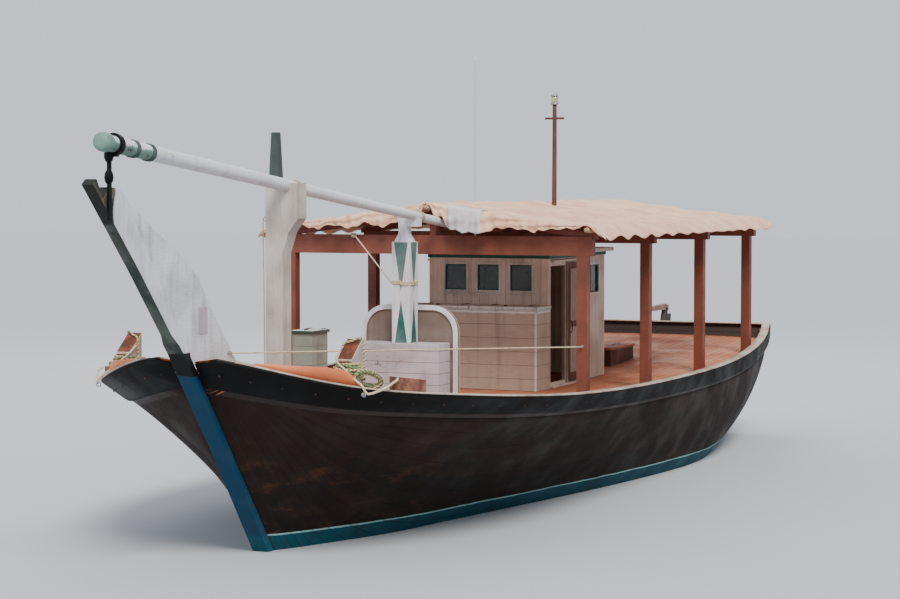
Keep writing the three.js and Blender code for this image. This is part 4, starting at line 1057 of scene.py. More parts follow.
# Spare rope hung in a hank between the post and the rail: long loops in a slanted plane, each of its own
# width and height. No part of a loop lies lower than the top of the rail cap. A row is (turns, seed, finish).
hank = {"centre": (8.03, 1.695, 2.190), "along": np.array([-0.75, 0.42, -0.30]),
        "up": np.array([0.10, 0.42, 0.90]), "half": 0.185, "rise": 0.082, "depth": 0.024, "rope": 0.0145,
        "capTop": 0.020, "loops": ((5, 0.4, "green rope"), (4, 2.6, "beige rope"))}


def hankRope(turns, seed):
    h = hank
    along = h["along"] / np.linalg.norm(h["along"])
    up = h["up"] - np.dot(h["up"], along) * along
    up /= np.linalg.norm(up)
    around = np.linspace(0, fullTurn * turns, turns * 44)[:, None] + seed
    half = h["half"] * (1 + 0.12 * np.sin(0.31 * around + seed))
    rise = h["rise"] * (1 + 0.22 * np.sin(0.43 * around + 2 * seed))
    off = h["depth"] * np.sin(0.71 * around + seed)
    path = h["centre"] + half * np.cos(around) * along + rise * np.sin(around) * up
    path = path + off * np.cross(along, up)
    path[:, 2] = np.maximum(path[:, 2], railZ(path[:, 0]) + h["capTop"] + h["rope"] * 0.9)
    return path


for side, mirror in sides.items():
    strands = {"beige rope": [tubePart(smoothPath(overTop["path"] * mirror, 90), overTop["radius"], 10)],
               "green rope": []}
    for *winding, finish in timberheads["windings"]:
        strands[finish].append(tubePart(windRope(*winding) * mirror, timberheads["rope"], 10, alongZ))
    for turns, seed, finish in hank["loops"]:
        loops = hankRope(turns, seed) * mirror
        strands[finish].append(tubePart(loops, hank["rope"], 10, hank["along"] * mirror))
    makeObject(f"ropeTurns_{side}", strands["beige rope"], "beige rope", stands=(f"rope_turns_{side}",))
    makeObject(f"greenTurns_{side}", strands["green rope"], "green rope")
print("ropes wound")


# Tight lines: from each timberhead over the rail to an eye on the strake and back to the chock, a stay from
# the canopy's fore beam to turns round the bitt, a thin line down beside the fork post, and a guard line.
overRail = {"radius": 0.014, "path": [
    (8.10, 1.364, 2.500), (8.19, 1.362, 2.455), (8.238, 1.395, 2.400), (8.252, 1.50, 2.315),
    (8.268, 1.62, 2.215), (8.282, 1.73, 2.140), (8.290, 1.785, 2.065), (8.262, 1.805, 2.045),
    (8.16, 1.875, 2.068), (8.05, 1.944, 2.112), (7.965, 1.985, 2.158), (7.905, 2.00, 2.182),
    (7.86, 1.99, 2.196)]}
stay = {"ends": ((2.292, -1.22, 3.735), (3.345, -0.150, 3.095)), "radius": 0.009,
        "knot": (2.300, -1.22, 3.722), "knotTurns": 5,
        "bitt": (3.22, 0.0, 3.068), "bittHalf": 0.135, "bittTurns": 3, "pitch": 0.0185}
straightLines = {"fork": ((7.05, -0.185, 4.02), (7.05, -0.165, 2.15), 24, 0.008),
                 "guard": ((8.34, 0.062, 2.470), (2.290, 2.260, 2.205), 40, 0.009)}

for side, mirror in sides.items():
    line = tubePart(smoothPath(overRail["path"] * mirror, 140), overRail["radius"], 10)
    makeObject(f"railLine_{side}", [line], "pale line")
around = np.linspace(0, stay["bittTurns"] * fullTurn, 150)
reach = squareReach(around, stay["bittHalf"], stay["bittHalf"], stay["radius"])
roundBitt = np.stack([reach * np.cos(around), reach * np.sin(around), stay["pitch"] * around / fullTurn],
                     axis=-1) + stay["bitt"]
around = np.linspace(0, stay["knotTurns"] * fullTurn, 120)
knot = np.stack([0.020 * np.cos(around), 0.030 * (around / around[-1] - 0.5) * 2, 0.024 * np.sin(around)],
                axis=-1) + stay["knot"]
tightLines = [tubePart(np.linspace(*stay["ends"], 24), stay["radius"], 8),
              tubePart(roundBitt, stay["radius"], 8, alongZ), tubePart(knot, 0.010, 8, alongY)]
for *ends, count, radius in straightLines.values():
    tightLines.append(tubePart(np.linspace(*ends, count), radius, 8))
makeObject("tightLines", tightLines, "pale line")


# A ring through a round plate. The plate looks outward, and the ring lies in the plane of way and rise.
def eyeParts(place, outward, size, way=None, rise=alongZ):
    place, outward = np.asarray(place, float), np.asarray(outward, float) / np.linalg.norm(outward)
    way = outward if way is None else np.asarray(way, float)
    turn = np.linspace(0, fullTurn, 19)[:, None]
    ring = place + way * size + size * np.sin(turn) * rise + size * np.cos(turn) * way
    plate = [(0.004, -0.004), (size, -0.003), (size, 0.003), (size * 0.7, 0.007), (0.004, 0.008)]
    return [tubePart(ring, 0.0055, 8, np.cross(way, rise)), turnedPart(plate, place, outward, 14)]


# Each row: place, the way it looks, and size.
eyeRows = [((8.28, 1.750, 2.036), (0.62, 0.78, 0.0), 0.026),
           ((8.28, -1.750, 2.036), (0.62, -0.78, 0.0), 0.026),
           ((2.276, -1.22, 3.70), (1, 0, 0), 0.022), ((7.05, -0.116, 4.02), (0, -1, 0), 0.03),
           ((7.05, -0.116, 2.15), (0, -1, 0), 0.03), ((8.36, 0.046, 2.470), (0, 1, 0), 0.020),
           ((2.276, 2.262, 2.205), (1, 0, 0), 0.020)]
makeObject("eyeBolts", [part for row in eyeRows for part in eyeParts(*row)], "galvanised iron")
print("tight lines set up")


# Boards, straps and plates fixed over the solids, each row a low and a high corner.
def boardRows(name, rows, finish, body="hull", bevel=0.003, extra=()):
    return makeObject(name, [blockPart(rows), *extra], finish, body=body, bevel=bevel, merge=False)


def mirrorRows(rows):
    return [((low[0], -high[1], low[2]), (high[0], -low[1], high[2])) for low, high in rows]


# A frame of four boards round an opening of (from, to, z from, z to), lapped over its edge by inset and
# lying in the plane x = face, or y = face where the opening runs along X.
def frameRows(opening, inset, width, face, thick, runsAlongX=False):
    low, high, z0, z1 = np.array(opening) + inset * np.array([1, -1, 1, -1])
    bars = [(low - width, low, z0 - width, z1 + width), (high, high + width, z0 - width, z1 + width),
            (low, high, z0 - width, z0), (low, high, z1, z1 + width)]
    if runsAlongX:
        return [((a, face, foot), (b, face + thick, head)) for a, b, foot, head in bars]
    return [((face, a, foot), (face + thick, b, head)) for a, b, foot, head in bars]


house = {"front": 0.1503, "side": 0.9703, "sill": 0.034, "trimFoot": 3.345, "trimHead": 3.3975,
         "windows": [(y - 0.175, y + 0.175, 2.86, 3.25) for y in (-0.53, 0.0, 0.53)],
         "sideWindow": (-2.10, -1.45, 2.76, 3.20), "frame": (0.002, 0.036), "sash": (0.020, 0.0195),
         "frontSash": (0.1265, 0.012), "sideSash": (0.9485, 0.010)}
front, side = house["front"], house["side"]
frames, sashes = [], []
for window in house["windows"]:
    low, high, foot, _ = window
    frames += frameRows(window, *house["frame"], front, 0.014)
    frames.append(((front, low - 0.05, foot - 0.060), (front + house["sill"], high + 0.05, foot - 0.036)))
    sashes += frameRows(window, *house["sash"], *house["frontSash"])
sideFrame = frameRows(house["sideWindow"], *house["frame"], side, 0.012, True)
sideSash = frameRows(house["sideWindow"], *house["sash"], *house["sideSash"], True)
x0, x1, z0, z1 = house["sideWindow"]
middle = (x0 + x1) / 2
face, thick = house["sideSash"]
sideSash.append(((middle - 0.012, face, z0 + 0.020), (middle + 0.012, face + thick, z1 - 0.020)))
boardRows("windowFrames", frames + sideFrame + mirrorRows(sideFrame), "pale trim")
boardRows("windowSashes", sashes + sideSash + mirrorRows(sideSash), "green trim", bevel=0.002)
foot, head = house["trimFoot"], house["trimHead"]
frontTrim = [((front, -0.988, foot), (front + 0.019, 0.988, head))]
afterTrim = [((-2.419, -0.988, foot), (-2.4003, 0.988, head))]
sideTrim = [((-2.40, side, foot), (0.15, side + 0.018, head))]
boardRows("underRoofTrim", frontTrim + sideTrim + mirrorRows(sideTrim) + afterTrim, "green trim")
print("windows framed")

door = {"boards": [((-1.259, 1.0133, 1.455), (-1.185, 1.026, 3.27)),
                   ((-0.675, 1.0133, 1.455), (-0.601, 1.026, 3.27)),
                   ((-1.185, 1.0133, 1.455), (-0.675, 1.024, 1.585)),
                   ((-1.185, 1.0133, 2.28), (-0.675, 1.024, 2.37)),
                   ((-1.185, 1.0133, 3.17), (-0.675, 1.024, 3.27))],
        "pull": [(-0.638, 1.022, 2.20), (-0.638, 1.048, 2.205), (-0.638, 1.060, 2.23), (-0.638, 1.060, 2.35),
                 (-0.638, 1.048, 2.375), (-0.638, 1.022, 2.38)]}
for side, mirror in sides.items():
    rows = door["boards"] if side == "port" else mirrorRows(door["boards"])
    boardRows(f"doorFrame_{side}", rows, "red brown timber", body=f"sliding_door_{side}")
    pull = tubePart(smoothPath(door["pull"] * mirror, 40), 0.0075, 10, alongX)
    makeObject(f"doorPull_{side}", [pull], "dark iron", body=f"sliding_door_{side}")
print("doors framed")

# Strap hinges and lift rings of the lids: body, hinge x, top z, strap ys, strap length, ring x and ring ys.
# A ring lies back on its lid, a little raised.
lids = [("chest_cover", 5.678, 2.6003, (-0.215, -0.005), 0.13, 6.05, (-0.11,)),
        ("casing_cover_port", 0.333, 2.6603, (0.24, 0.84), 0.26, 0.84, (0.54,)),
        ("casing_cover_starboard", 0.333, 2.6603, (-0.24, -0.84), 0.26, 0.84, (-0.54,)),
        ("hatch_cover", -4.718, 1.7603, (-0.45, 0.45), 0.38, -3.62, (-0.36, 0.36))]
lidIron = {"half": 0.021, "nails": (0.2, 0.55, 0.9), "ring": 0.024, "ringWay": (-0.985, 0.0, 0.174),
           "nail": [(0.002, 0.0), (0.009, 0.0005), (0.007, 0.004), (0.002, 0.0052)]}
for body, hingeX, top, strapYs, length, ringX, ringYs in lids:
    half = lidIron["half"]
    straps = [((hingeX + 0.001, y - half, top + 0.0002), (hingeX + length, y + half, top + 0.005))
              for y in strapYs]
    nails = [turnedPart(lidIron["nail"], (hingeX + length * share, y, top + 0.0048), facets=8)
             for y in strapYs for share in lidIron["nails"]]
    rings = []
    for y in ringYs:
        rings += eyeParts((ringX, y, top + 0.004), alongZ, lidIron["ring"], lidIron["ringWay"], alongY)
    boardRows(f"lidIron_{body}", straps, "dark iron", body=body, bevel=0.0015, extra=nails + rings)

# Straps round the rudder, square to its raked stock: distance up the stock and length.
rudderIron = {"foot": (-7.39676, 0.0, -0.448379), "up": np.array([-0.4472136, 0.0, 0.8944272]),
              "rake": -26.565, "straps": ((0.62, 0.52), (1.57, 0.52), (2.37, 0.36)), "half": 0.032,
              "faces": ((0.0452, 0.052), (-0.052, -0.0452))}
rudderStraps = []
for along, length in rudderIron["straps"]:
    foot = rudderIron["up"] * along + rudderIron["foot"]
    half = rudderIron["half"]
    for low, high in rudderIron["faces"]:
        strap = blockPart([(foot + (-length, low, -half), foot + (-0.03, high, half))])
        rudderStraps.append(turned(strap, rudderIron["rake"], alongY, foot))
makeObject("rudderStraps", rudderStraps, "dark iron", body="steering", bevel=0.002)

# A blank plate nailed to the fin at its corners.
plate = {"low": (8.86, 0.0452, 2.73), "high": (9.07, 0.0505, 3.04),
         "nailXs": (8.885, 9.045), "nailZs": (2.76, 3.01),
         "nail": [(0.002, 0.0), (0.008, 0.0005), (0.006, 0.003), (0.002, 0.004)]}
plateNails = [turnedPart(plate["nail"], (x, plate["high"][1], z), alongY, 8)
              for x in plate["nailXs"] for z in plate["nailZs"]]
boardRows("finPlate", [(plate["low"], plate["high"])], "bare plate", bevel=0.002, extra=plateNails)
print("hinges, straps and plate fixed")


# Bolt heads along both strakes: at every few stations of the strake's middle line, looking square to it.
bolts = {"every": 6, "line": [(0.0600, 0.115)], "foreEnd": 9.20, "aftOff": 0.062,
         "profile": [(0.003, -0.003), (0.017, -0.001), (0.015, 0.005), (0.007, 0.009)]}
boltLine = railPath(bolts["line"], bolts["foreEnd"], bolts["aftOff"])[::bolts["every"], 0][1:]
boltOut = np.gradient(boltLine, axis=0)[:, [1, 0, 2]] * [-1, 1, 0]
boltParts = [turnedPart(bolts["profile"], place * mirror, outward * mirror, 8)
             for place, outward in zip(boltLine, boltOut) for mirror in sides.values()]
makeObject("strakeBolts", boltParts, "dark iron")

# Shackle between the spar's end and the stem head: two dark lumps joined by a thin neck.
shackle = {"foot": np.array([11.030, 0.088, 4.44]), "top": np.array([11.066, 0.112, 4.80]), "profile": [
    (0.004, 0.0), (0.026, 0.004), (0.044, 0.03), (0.050, 0.075), (0.042, 0.12), (0.022, 0.155),
    (0.013, 0.175), (0.012, 0.205), (0.018, 0.225), (0.040, 0.25), (0.052, 0.285), (0.050, 0.33),
    (0.034, 0.36), (0.004, 0.364)]}
shackleUp = shackle["top"] - shackle["foot"]
makeObject("stemShackle", [turnedPart(shackle["profile"], shackle["foot"], shackleUp, 20)], "tarred iron")

# Compass and lever on the helm console.
compass = {"foot": (-0.10, 0.20, 2.2505), "profile": [
    (0.004, 0.0), (0.075, 0.001), (0.078, 0.012), (0.062, 0.03), (0.066, 0.07), (0.072, 0.10), (0.066, 0.108),
    (0.060, 0.104), (0.045, 0.118), (0.02, 0.127), (0.004, 0.129)]}
makeObject("compassBowl", [turnedPart(compass["profile"], compass["foot"], facets=28)], "bronze")
lever = {"foot": (-0.10, -0.20, 2.2505), "head": (-0.142, -0.20, 2.46), "radius": 0.0075,
         "path": [(-0.10, -0.20, 2.25), (-0.105, -0.20, 2.32), (-0.125, -0.20, 2.40), (-0.14, -0.20, 2.45)],
         "knob": [(0.004, -0.02), (0.018, -0.014), (0.022, 0.0), (0.018, 0.014), (0.004, 0.02)],
         "base": [(0.004, 0.0), (0.045, 0.001), (0.045, 0.02), (0.03, 0.028), (0.004, 0.03)]}
makeObject("speedLever", [tubePart(smoothPath(lever["path"], 24), lever["radius"], 10, alongY),
                          turnedPart(lever["knob"], lever["head"]), turnedPart(lever["base"], lever["foot"])],
           "tarred iron")
print("small fittings set")


# Helm wheel: a round rim, turned spokes and a turned hub about the wheel's axis.
helm = {"centre": np.array([-0.56, 0.0, 2.42]), "rim": 0.310, "rimRadius": 0.0185, "spokes": 8,
        "spoke": [(0.004, 0.03), (0.013, 0.035), (0.012, 0.09), (0.018, 0.11), (0.011, 0.13), (0.014, 0.19),
                  (0.016, 0.24), (0.011, 0.27), (0.015, 0.29), (0.015, 0.335), (0.010, 0.345), (0.013, 0.37),
                  (0.0135, 0.395), (0.006, 0.408)],
        "hub": [(0.012, -0.04), (0.040, -0.038), (0.045, -0.02), (0.045, 0.02), (0.038, 0.035), (0.030, 0.05),
                (0.030, 0.24), (0.044, 0.26), (0.044, 0.2790), (0.01, 0.2795)]}


def helmParts():
    turn = np.linspace(0, fullTurn, 65)[:-1, None]
    roll = np.linspace(0, fullTurn, 17)[:-1]
    out = helm["rim"] + helm["rimRadius"] * np.cos(roll)
    rim = np.stack([np.broadcast_to(helm["rimRadius"] * 0.8 * np.sin(roll), (len(turn), len(roll))),
                    np.cos(turn) * out, np.sin(turn) * out], axis=-1) + helm["centre"]
    angles = [k * fullTurn / helm["spokes"] for k in range(helm["spokes"])]
    spokes = [turnedPart(helm["spoke"], helm["centre"], (0, math.cos(a), math.sin(a)), 12) for a in angles]
    return [gridPart(np.concatenate([rim, rim[:1]]), wrap=True), *spokes,
            turnedPart(helm["hub"], helm["centre"], alongX, 24)]


makeObject("steeringWheel", helmParts(), "varnished timber", body="helm", stands=("helm_wheel",))


# Screw: a turned boss and three blades. A blade point stands at radius r and lies along a helix of the
# screw's pitch: its chord, turned by the helix angle at r, gives a way forward and an angle round the shaft.
screw = {"centre": (-6.45, 0.0, -1.08), "radius": 0.375, "root": 0.0372, "pitch": 0.42, "blades": 3,
         "boss": [(0.004, -0.130), (0.028, -0.126), (0.046, -0.10), (0.060, -0.04), (0.067, 0.05),
                  (0.066, 0.10), (0.050, 0.112), (0.037, 0.12), (0.036, 0.2996), (0.004, 0.2997)]}


def bladeGrid(lead):
    r = np.linspace(screw["root"], screw["radius"], 22)[:, None]
    around = np.linspace(0, fullTurn, 28, endpoint=False)
    share = (r - screw["root"]) / (screw["radius"] - screw["root"])
    width = 0.115 * np.sqrt(np.clip(1 - (2 * share ** 0.9 - 1) ** 4, 0.02, 1)) * (0.55 + 0.55 * share) + 0.008
    thick = 0.012 * (1 - share) + 0.0025
    chord, across = width * np.cos(around), thick * np.sin(around)
    steep = np.arctan2(screw["pitch"] / fullTurn, r)
    forward = chord * np.sin(steep) + across * np.cos(steep)
    angle = lead + (chord * np.cos(steep) - across * np.sin(steep)) / r
    return np.stack([forward, r * np.cos(angle), r * np.sin(angle)], axis=-1) + screw["centre"]


blades = [closedPart(bladeGrid(k * fullTurn / screw["blades"])) for k in range(screw["blades"])]
makeObject("propellerBlades", [*blades, turnedPart(screw["boss"], screw["centre"], alongX, 32)], "bronze",
           body="propeller", stands=("screw",))
print("helm and screw turned")


# Poles of the canopy: bare spars with knots and a slow crook, kept off the cloth. Purlins lie on the
# rafters, whose top falls evenly from the ridge to the eaves.
poles = {"ends": (-6.52, 2.52), "radius": 0.045, "ridgeZ": 4.13, "eaveY": 2.40, "eaveZ": 3.8233,
         "purlinYs": (0.85, 1.65), "purlinRadius": 0.0325, "purlinEnds": ((-6.43, 2.44), (-6.43, 2.36)),
         "rafterTop": 4.075, "rafterFrom": 0.02, "rafterFall": 0.305 / 2.44}


def poleSurface(y, z, radius, ends, seed):
    x = np.linspace(*ends, 90)
    swell = radius - 0.003 + 0.0025 * np.sin(x * 3.1 + seed) * np.sin(x * 1.3)
    swell[[0, -1]] *= 0.75
    path = np.stack([x, y + 0.004 * np.sin(x * 0.9 + seed), np.full_like(x, z) - 0.001], axis=-1)
    return tubePart(path, swell, 16, alongY)


ridge = poleSurface(0.0, poles["ridgeZ"], poles["radius"], poles["ends"], 0.3)
makeObject("ridgePole", [ridge], "bare poles", stands=("canopy_ridge",))
for side, (_, sign, _) in sides.items():
    eave = poleSurface(sign * poles["eaveY"], poles["eaveZ"], poles["radius"], poles["ends"], 1.0 + sign)
    makeObject(f"eavePole_{side}", [eave], "bare poles", stands=(f"canopy_eave_{side}",))
    purlins = []
    for y, ends in zip(poles["purlinYs"], poles["purlinEnds"]):
        rafterZ = poles["rafterTop"] - (y - poles["rafterFrom"]) * poles["rafterFall"]
        z = rafterZ + poles["purlinRadius"] + 0.004
        purlins.append(poleSurface(sign * y, z, poles["purlinRadius"], ends, 2.0 * y + sign))
    makeObject(f"purlins_{side}", purlins, "bare poles")
print("poles laid")


# Canopy cloth over ridge, purlins and eaves. Height is the line over the poles, less a sag between
# each two poles and each two frames, plus folds that cross the slope. At the fore edge the cloth
# turns down and hangs to a ragged hem, parted where the poles come through.
canopy = {"x0": -6.455, "x1": 2.446, "half": 2.685,
          "supports": (0.0, 0.85, 1.65, 2.42), "frames": (-6.2, -3.4, -0.6, 2.2),
          "sag": 0.034, "ripple": 0.012, "fold": 0.024, "droop": 0.11, "thick": 0.005,
          "along": 176, "hanging": 20, "across": 212, "poleYs": (0.0, 2.40, -2.40), "poleHalf": 0.062,
          "line": ((0.0, 4.1885), (0.45, 4.128), (0.9, 4.060), (1.65, 3.960), (2.0, 3.918), (2.42, 3.8865),
                   (2.50, 3.862), (2.60, 3.806), (2.685, 3.742)),
          "hem": ((-2.685, 3.715), (-2.46, 3.83), (-2.34, 3.85), (-2.0, 3.885), (-1.72, 3.83), (-1.5, 3.90),
                  (-1.2, 3.84), (-0.95, 3.93), (-0.7, 3.86), (-0.45, 3.95), (-0.2, 3.90), (-0.07, 4.02),
                  (0.07, 4.05), (0.24, 4.02), (0.30, 3.86), (0.55, 3.80), (0.86, 3.79), (1.0, 3.86),
                  (1.3, 3.868), (1.55, 3.83), (1.62, 3.80), (1.70, 3.84), (2.1, 3.865), (2.34, 3.85),
                  (2.46, 3.83), (2.685, 3.715))}


# A hump from 0 at each of a row of supports to 1 half way between them.
def humps(supports, where):
    edges = np.array(supports)
    bay = np.clip(np.searchsorted(edges, where, side="right") - 1, 0, len(edges) - 2)
    return np.sin(math.pi * np.clip((where - edges[bay]) / (edges[bay + 1] - edges[bay]), 0, 1)) ** 2


def clothHeight(x, y):
    out = np.abs(y)
    crossSag = humps(canopy["supports"], out)
    lengthSag = 0.35 + 0.65 * humps(canopy["frames"], x)
    ripple = (np.sin(x * 5.3 + 1.3 * np.sin(y * 2.1)) * 0.35 + np.sin(x * 11.7 + y * 6.1) * 0.2
              + np.sin(y * 9.3 + x * 1.9 + 0.7) * 0.35 + np.sin(x * 23.0 - y * 17.0) * 0.1)
    height = np.interp(out, *np.array(canopy["line"]).T)
    height = height - canopy["sag"] * crossSag * lengthSag + canopy["ripple"] * crossSag * ripple
    across = np.sin(x * 5.9 + 1.1 * np.sin(y * 1.3 + 0.4) + 0.5 * np.sin(x * 1.7))
    slant = np.sin(x * 3.1 - out * 2.3 + 0.9 * np.sin(y * 1.9))
    folds = np.clip(across, 0, None) ** 3 * (0.65 + 0.35 * np.sin(x * 1.3 + y))
    folds = folds + 0.6 * np.clip(slant, 0, None) ** 5
    nearFore, nearSide = np.clip((2.44 - x) / 0.3, 0.25, 1), np.clip((2.62 - out) / 0.2, 0.0, 1)
    height = height + canopy["fold"] * folds * nearFore * nearSide
    overEave = np.clip((out - 2.47) / 0.215, 0, 1)
    height = height - overEave * (0.018 + 0.03 * np.sin(x * 4.3 + 0.6 * y) ** 2 + 0.02 * np.sin(x * 9.1))
    aft = np.clip((-6.26 - x) / 0.195, 0, 1) ** 1.7
    hang = (0.25 + 0.75 * crossSag) * (0.7 + 0.3 * np.sin(y * 7.3 + 1.1)) * (0.8 + 0.2 * np.sin(y * 17.0))
    hang = np.where(out > canopy["supports"][-1], 0.3, hang)
    return height - canopy["droop"] * aft * hang * np.clip(crossSag * 3.0, 0.12, 1)


def clothSurface():
    u = np.linspace(0, 1, canopy["along"])
    v = np.linspace(-1, 1, canopy["across"])
    x, y = np.meshgrid(canopy["x0"] + (canopy["x1"] - canopy["x0"]) * u, canopy["half"] * v, indexing="ij")
    ragged = 0.045 * np.sin(y * 3.7 + 0.4) * np.sin(y * 8.9) + 0.02 * np.sin(y * 21.0)
    x = x + np.clip((-6.2 - x) / 0.25, 0, 1) * np.abs(ragged) * 0.7
    side = np.clip((np.abs(y) - 2.5) / 0.185, 0, 1) * 0.028 * np.sin(x * 3.1 + np.sign(y)) ** 2
    top = np.stack([x, y - np.sign(y) * side, clothHeight(x, y)], axis=-1)
    edgeX, edgeY, edgeZ = top[-1].T
    hem = np.interp(edgeY, *np.array(canopy["hem"]).T) + 0.012 * np.sin(edgeY * 31.0)
    drop = np.maximum(edgeZ - hem, 0.012)
    for poleY in canopy["poleYs"]:
        drop = drop * np.clip((np.abs(edgeY - poleY) - canopy["poleHalf"]) / 0.05, 0.0, 1) + 0.008
    t = np.linspace(0, 1, canopy["hanging"] + 1)[1:, None]
    pleat = 0.020 * np.sin(edgeY * 26.0 + 1.5 * np.sin(edgeY * 5.0)) + 0.012 * np.sin(edgeY * 57.0)
    bunch = 0.010 * np.sin(t * 9.0 + edgeY * 6.0) * np.sin(t * math.pi)
    hangX = edgeX + 0.018 * np.minimum(t * 5.0, 1.0) + pleat * t ** 0.8 + bunch
    hangY = edgeY + 0.018 * np.sin(t * 4.0 + edgeY * 11.0) * t
    return np.concatenate([top, np.stack([hangX, hangY, edgeZ - drop * t], axis=-1)])


# A sheet of cloth with its thickness, and its mean width and length along the cloth.
def clothPiece(name, grid, finish, thick, stands=()):
    piece = makeObject(name, [gridPart(grid)], finish, stands=stands)
    if piece.data.polygons[len(piece.data.polygons) // 2].normal.z < 0:
        piece.data.flip_normals()
    thickness = piece.modifiers.new("thickness", "SOLIDIFY")
    thickness.thickness = thick
    thickness.offset = 0.0
    width, length = [float(np.linalg.norm(np.diff(grid, axis=k), axis=2).sum(axis=k).mean()) for k in (1, 0)]
    print(name, "cut", round(width, 3), "by", round(length, 3))
    return piece, round(width, 2), round(length, 2)


clothGrid = clothSurface()
canopyCloth, width, length = clothPiece("canopyCanvas", clothGrid, "canopy canvas", canopy["thick"],
                                        ("canopy_cloth",))
print("canopy spread")


# A whiter piece of cloth folded over the fore edge: the canopy's own surface between two widths, moved
# out along its normal.
flapCloth = {"y0": 0.31, "y1": 0.84, "off": 0.010, "wave": 0.006, "over": 5, "thick": 0.003}


def flapSurface():
    inside = (clothGrid[-1, :, 1] > flapCloth["y0"]) & (clothGrid[-1, :, 1] < flapCloth["y1"])
    under = clothGrid[canopy["along"] - flapCloth["over"]:, inside]
    normal = np.cross(np.gradient(under, axis=1), np.gradient(under, axis=0))
    normal /= np.linalg.norm(normal, axis=2, keepdims=True)
    normal *= np.sign(normal[:1, :1, 2:])
    share = np.linspace(0, 1, under.shape[0])[:, None]
    lift = flapCloth["off"] + flapCloth["wave"] * np.sin(share * 7.0 + under[..., 1] * 9.0) ** 2
    return under + normal * lift[..., None]


flap, width, length = clothPiece("foldedFlap", flapSurface(), "pale cloth", flapCloth["thick"])
print("flap folded over")


# Staff with its cross arm, a lamp in a wire guard on top, and the whip aerial.
staff = {"x": -1.9, "y": 0.3, "foot": 3.4606, "top": 5.72, "radius": 0.041, "tip": 0.033, "armZ": 5.50,
         "armHalf": 0.158, "armRadius": 0.018}
staffZ = np.linspace(staff["foot"], staff["top"], 30)
staffX = staff["x"] + 0.004 * np.sin(staffZ * 2.0)
staffPath = np.stack([staffX, np.full_like(staffZ, staff["y"]), staffZ], axis=-1)
armEnds = [(staff["x"], staff["y"] + end, staff["armZ"]) for end in (-staff["armHalf"], staff["armHalf"])]
makeObject("lampStaff", [tubePart(staffPath, np.linspace(staff["radius"], staff["tip"], 30), 20),
                         tubePart(np.linspace(*armEnds, 12), staff["armRadius"], 12, alongZ)],
           "brown staff", stands=("signal_staff",))
lamp = {"base": [(0.01, 0.0), (0.055, 0.002), (0.061, 0.010), (0.061, 0.026), (0.05, 0.032), (0.01, 0.033)],
        "cap": [(0.01, 0.128), (0.055, 0.130), (0.061, 0.138), (0.058, 0.152), (0.035, 0.172), (0.01, 0.184)],
        "glass": [(0.01, 0.030), (0.042, 0.032), (0.047, 0.055), (0.047, 0.105), (0.042, 0.129),
                  (0.01, 0.130)],
        "guardReach": 0.056, "guardRadius": 0.003, "guardZs": (5.742, 5.848),
        "guardAngles": (0.4, 1.97, 3.54, 5.11)}
lampFoot = (staff["x"], staff["y"], staff["top"] - 0.006)
guard = []
for angle in lamp["guardAngles"]:
    x = staff["x"] + lamp["guardReach"] * math.cos(angle)
    y = staff["y"] + lamp["guardReach"] * math.sin(angle)
    guard.append(tubePart(np.linspace(*[(x, y, z) for z in lamp["guardZs"]], 6), lamp["guardRadius"], 6))
makeObject("lampCase", [turnedPart(lamp["base"], lampFoot), turnedPart(lamp["cap"], lampFoot), *guard],
           "galvanised iron")
makeObject("lampGlass", [turnedPart(lamp["glass"], lampFoot)], "frosted lamp")
whip = {"x": -0.35, "y": -0.42, "foot": 3.4606, "rodFoot": 3.61, "top": 6.428, "radii": (0.0125, 0.0055),
        "base": [(0.004, 0.0), (0.030, 0.001), (0.032, 0.02), (0.027, 0.06), (0.026, 0.12), (0.020, 0.155),
                 (0.012, 0.17), (0.004, 0.171)]}
whipZ = np.linspace(whip["rodFoot"], whip["top"], 40)
whipPath = np.stack([whip["x"] + 0.004 * np.sin(whipZ * 1.3), np.full_like(whipZ, whip["y"]), whipZ], axis=-1)
makeObject("whipRod", [tubePart(whipPath, np.linspace(*whip["radii"], 40), 12),
                       turnedPart(whip["base"], (whip["x"], whip["y"], whip["foot"]))],
           "painted rod", stands=("whip_aerial",))
print("staff and whip set up")


# Light and camera

def addToScene(name, data, place=(0, 0, 0), look=None):
    thing = bpy.data.objects.new(name, data)
    thing.location = place
    if look is not None:
        thing.rotation_euler = Vector(look).to_track_quat("-Z", "Y").to_euler()
    bpy.context.scene.collection.objects.link(thing)
    return thing


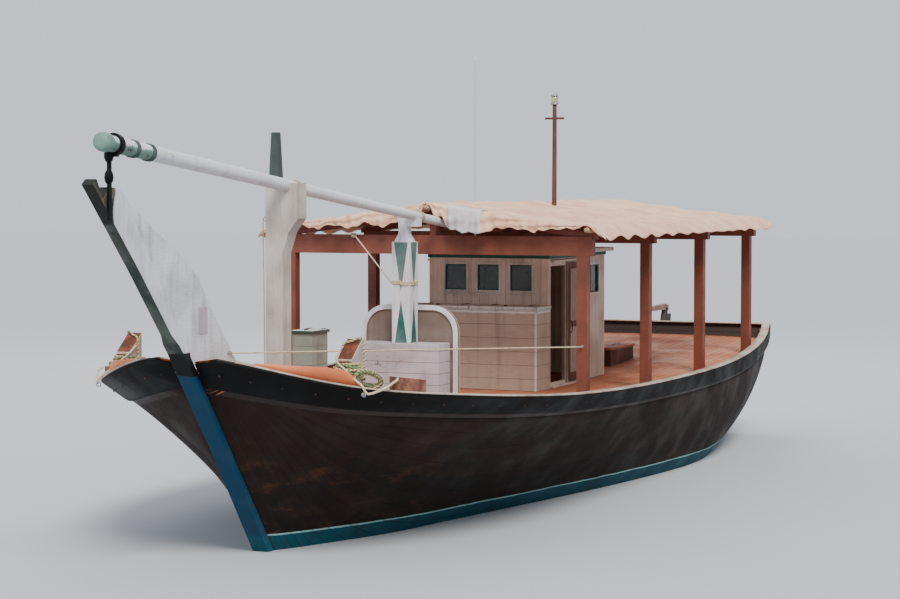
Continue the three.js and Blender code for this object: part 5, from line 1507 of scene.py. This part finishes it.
keySun = {"power": 4.4, "angle": 22, "colour": (1.0, 0.96, 0.90), "look": (-20, -16, -28)}
sun = bpy.data.lights.new("keySun", "SUN")
sun.energy = keySun["power"]
sun.angle = math.radians(keySun["angle"])
sun.color = keySun["colour"]
addToScene("keySun", sun, look=keySun["look"])

# Each row: place, aim, width and depth, power and colour.
softLights = {"fillLight": ((26, -18, 14), (2, 0, 1.5), (16, 12), 2200, (0.86, 0.92, 1.0)),
              "backLight": ((-20, -10, 20), (-2, 0, 2), (14, 14), 2600, (1.0, 0.98, 0.96))}
for name, (place, aim, size, power, lightColour) in softLights.items():
    light = bpy.data.lights.new(name, "AREA")
    light.shape = "RECTANGLE"
    light.size, light.size_y = size
    light.energy = power
    light.color = lightColour
    addToScene(name, light, place, Vector(aim) - Vector(place))
world = bpy.data.worlds.new("studio")
world.use_nodes = True
sky = world.node_tree.nodes["Background"].inputs
sky["Color"].default_value = (0.75, 0.79, 0.85, 1.0)
sky["Strength"].default_value = 1.1
bpy.context.scene.world = world

floorLook = {"reach": 160.0, "dark": (0.42, 0.44, 0.472, 1.0), "light": (0.434, 0.456, 0.49, 1.0)}
floorMaterial, floorPlace, _ = newMaterial("pale floor")
dressed(floorMaterial, {"Base Color": mix(noise(floorPlace, 0.4), floorLook["dark"], floorLook["light"]),
                        "Roughness": 0.8, "Specular IOR Level": 0.2})
reach = floorLook["reach"]
floorMesh = bpy.data.meshes.new("waterlineFloor")
floorMesh.from_pydata([(-reach, -reach, 0), (reach, -reach, 0), (reach, reach, 0), (-reach, reach, 0)], [],
                      [(0, 1, 2, 3)])
floorMesh.materials.append(floorMaterial)
addToScene("waterlineFloor", floorMesh)

photoView = {"place": (31.244, 12.583, 4.4), "look": (-0.96194, -0.40867, -0.05239), "lens": 89.0}
cameraData = bpy.data.cameras.new("photoCamera")
cameraData.sensor_width = 36.0
cameraData.lens = photoView["lens"]
cameraData.clip_end = 400.0
bpy.context.scene.camera = addToScene("photoCamera", cameraData, photoView["place"], photoView["look"])
print("camera and light placed")
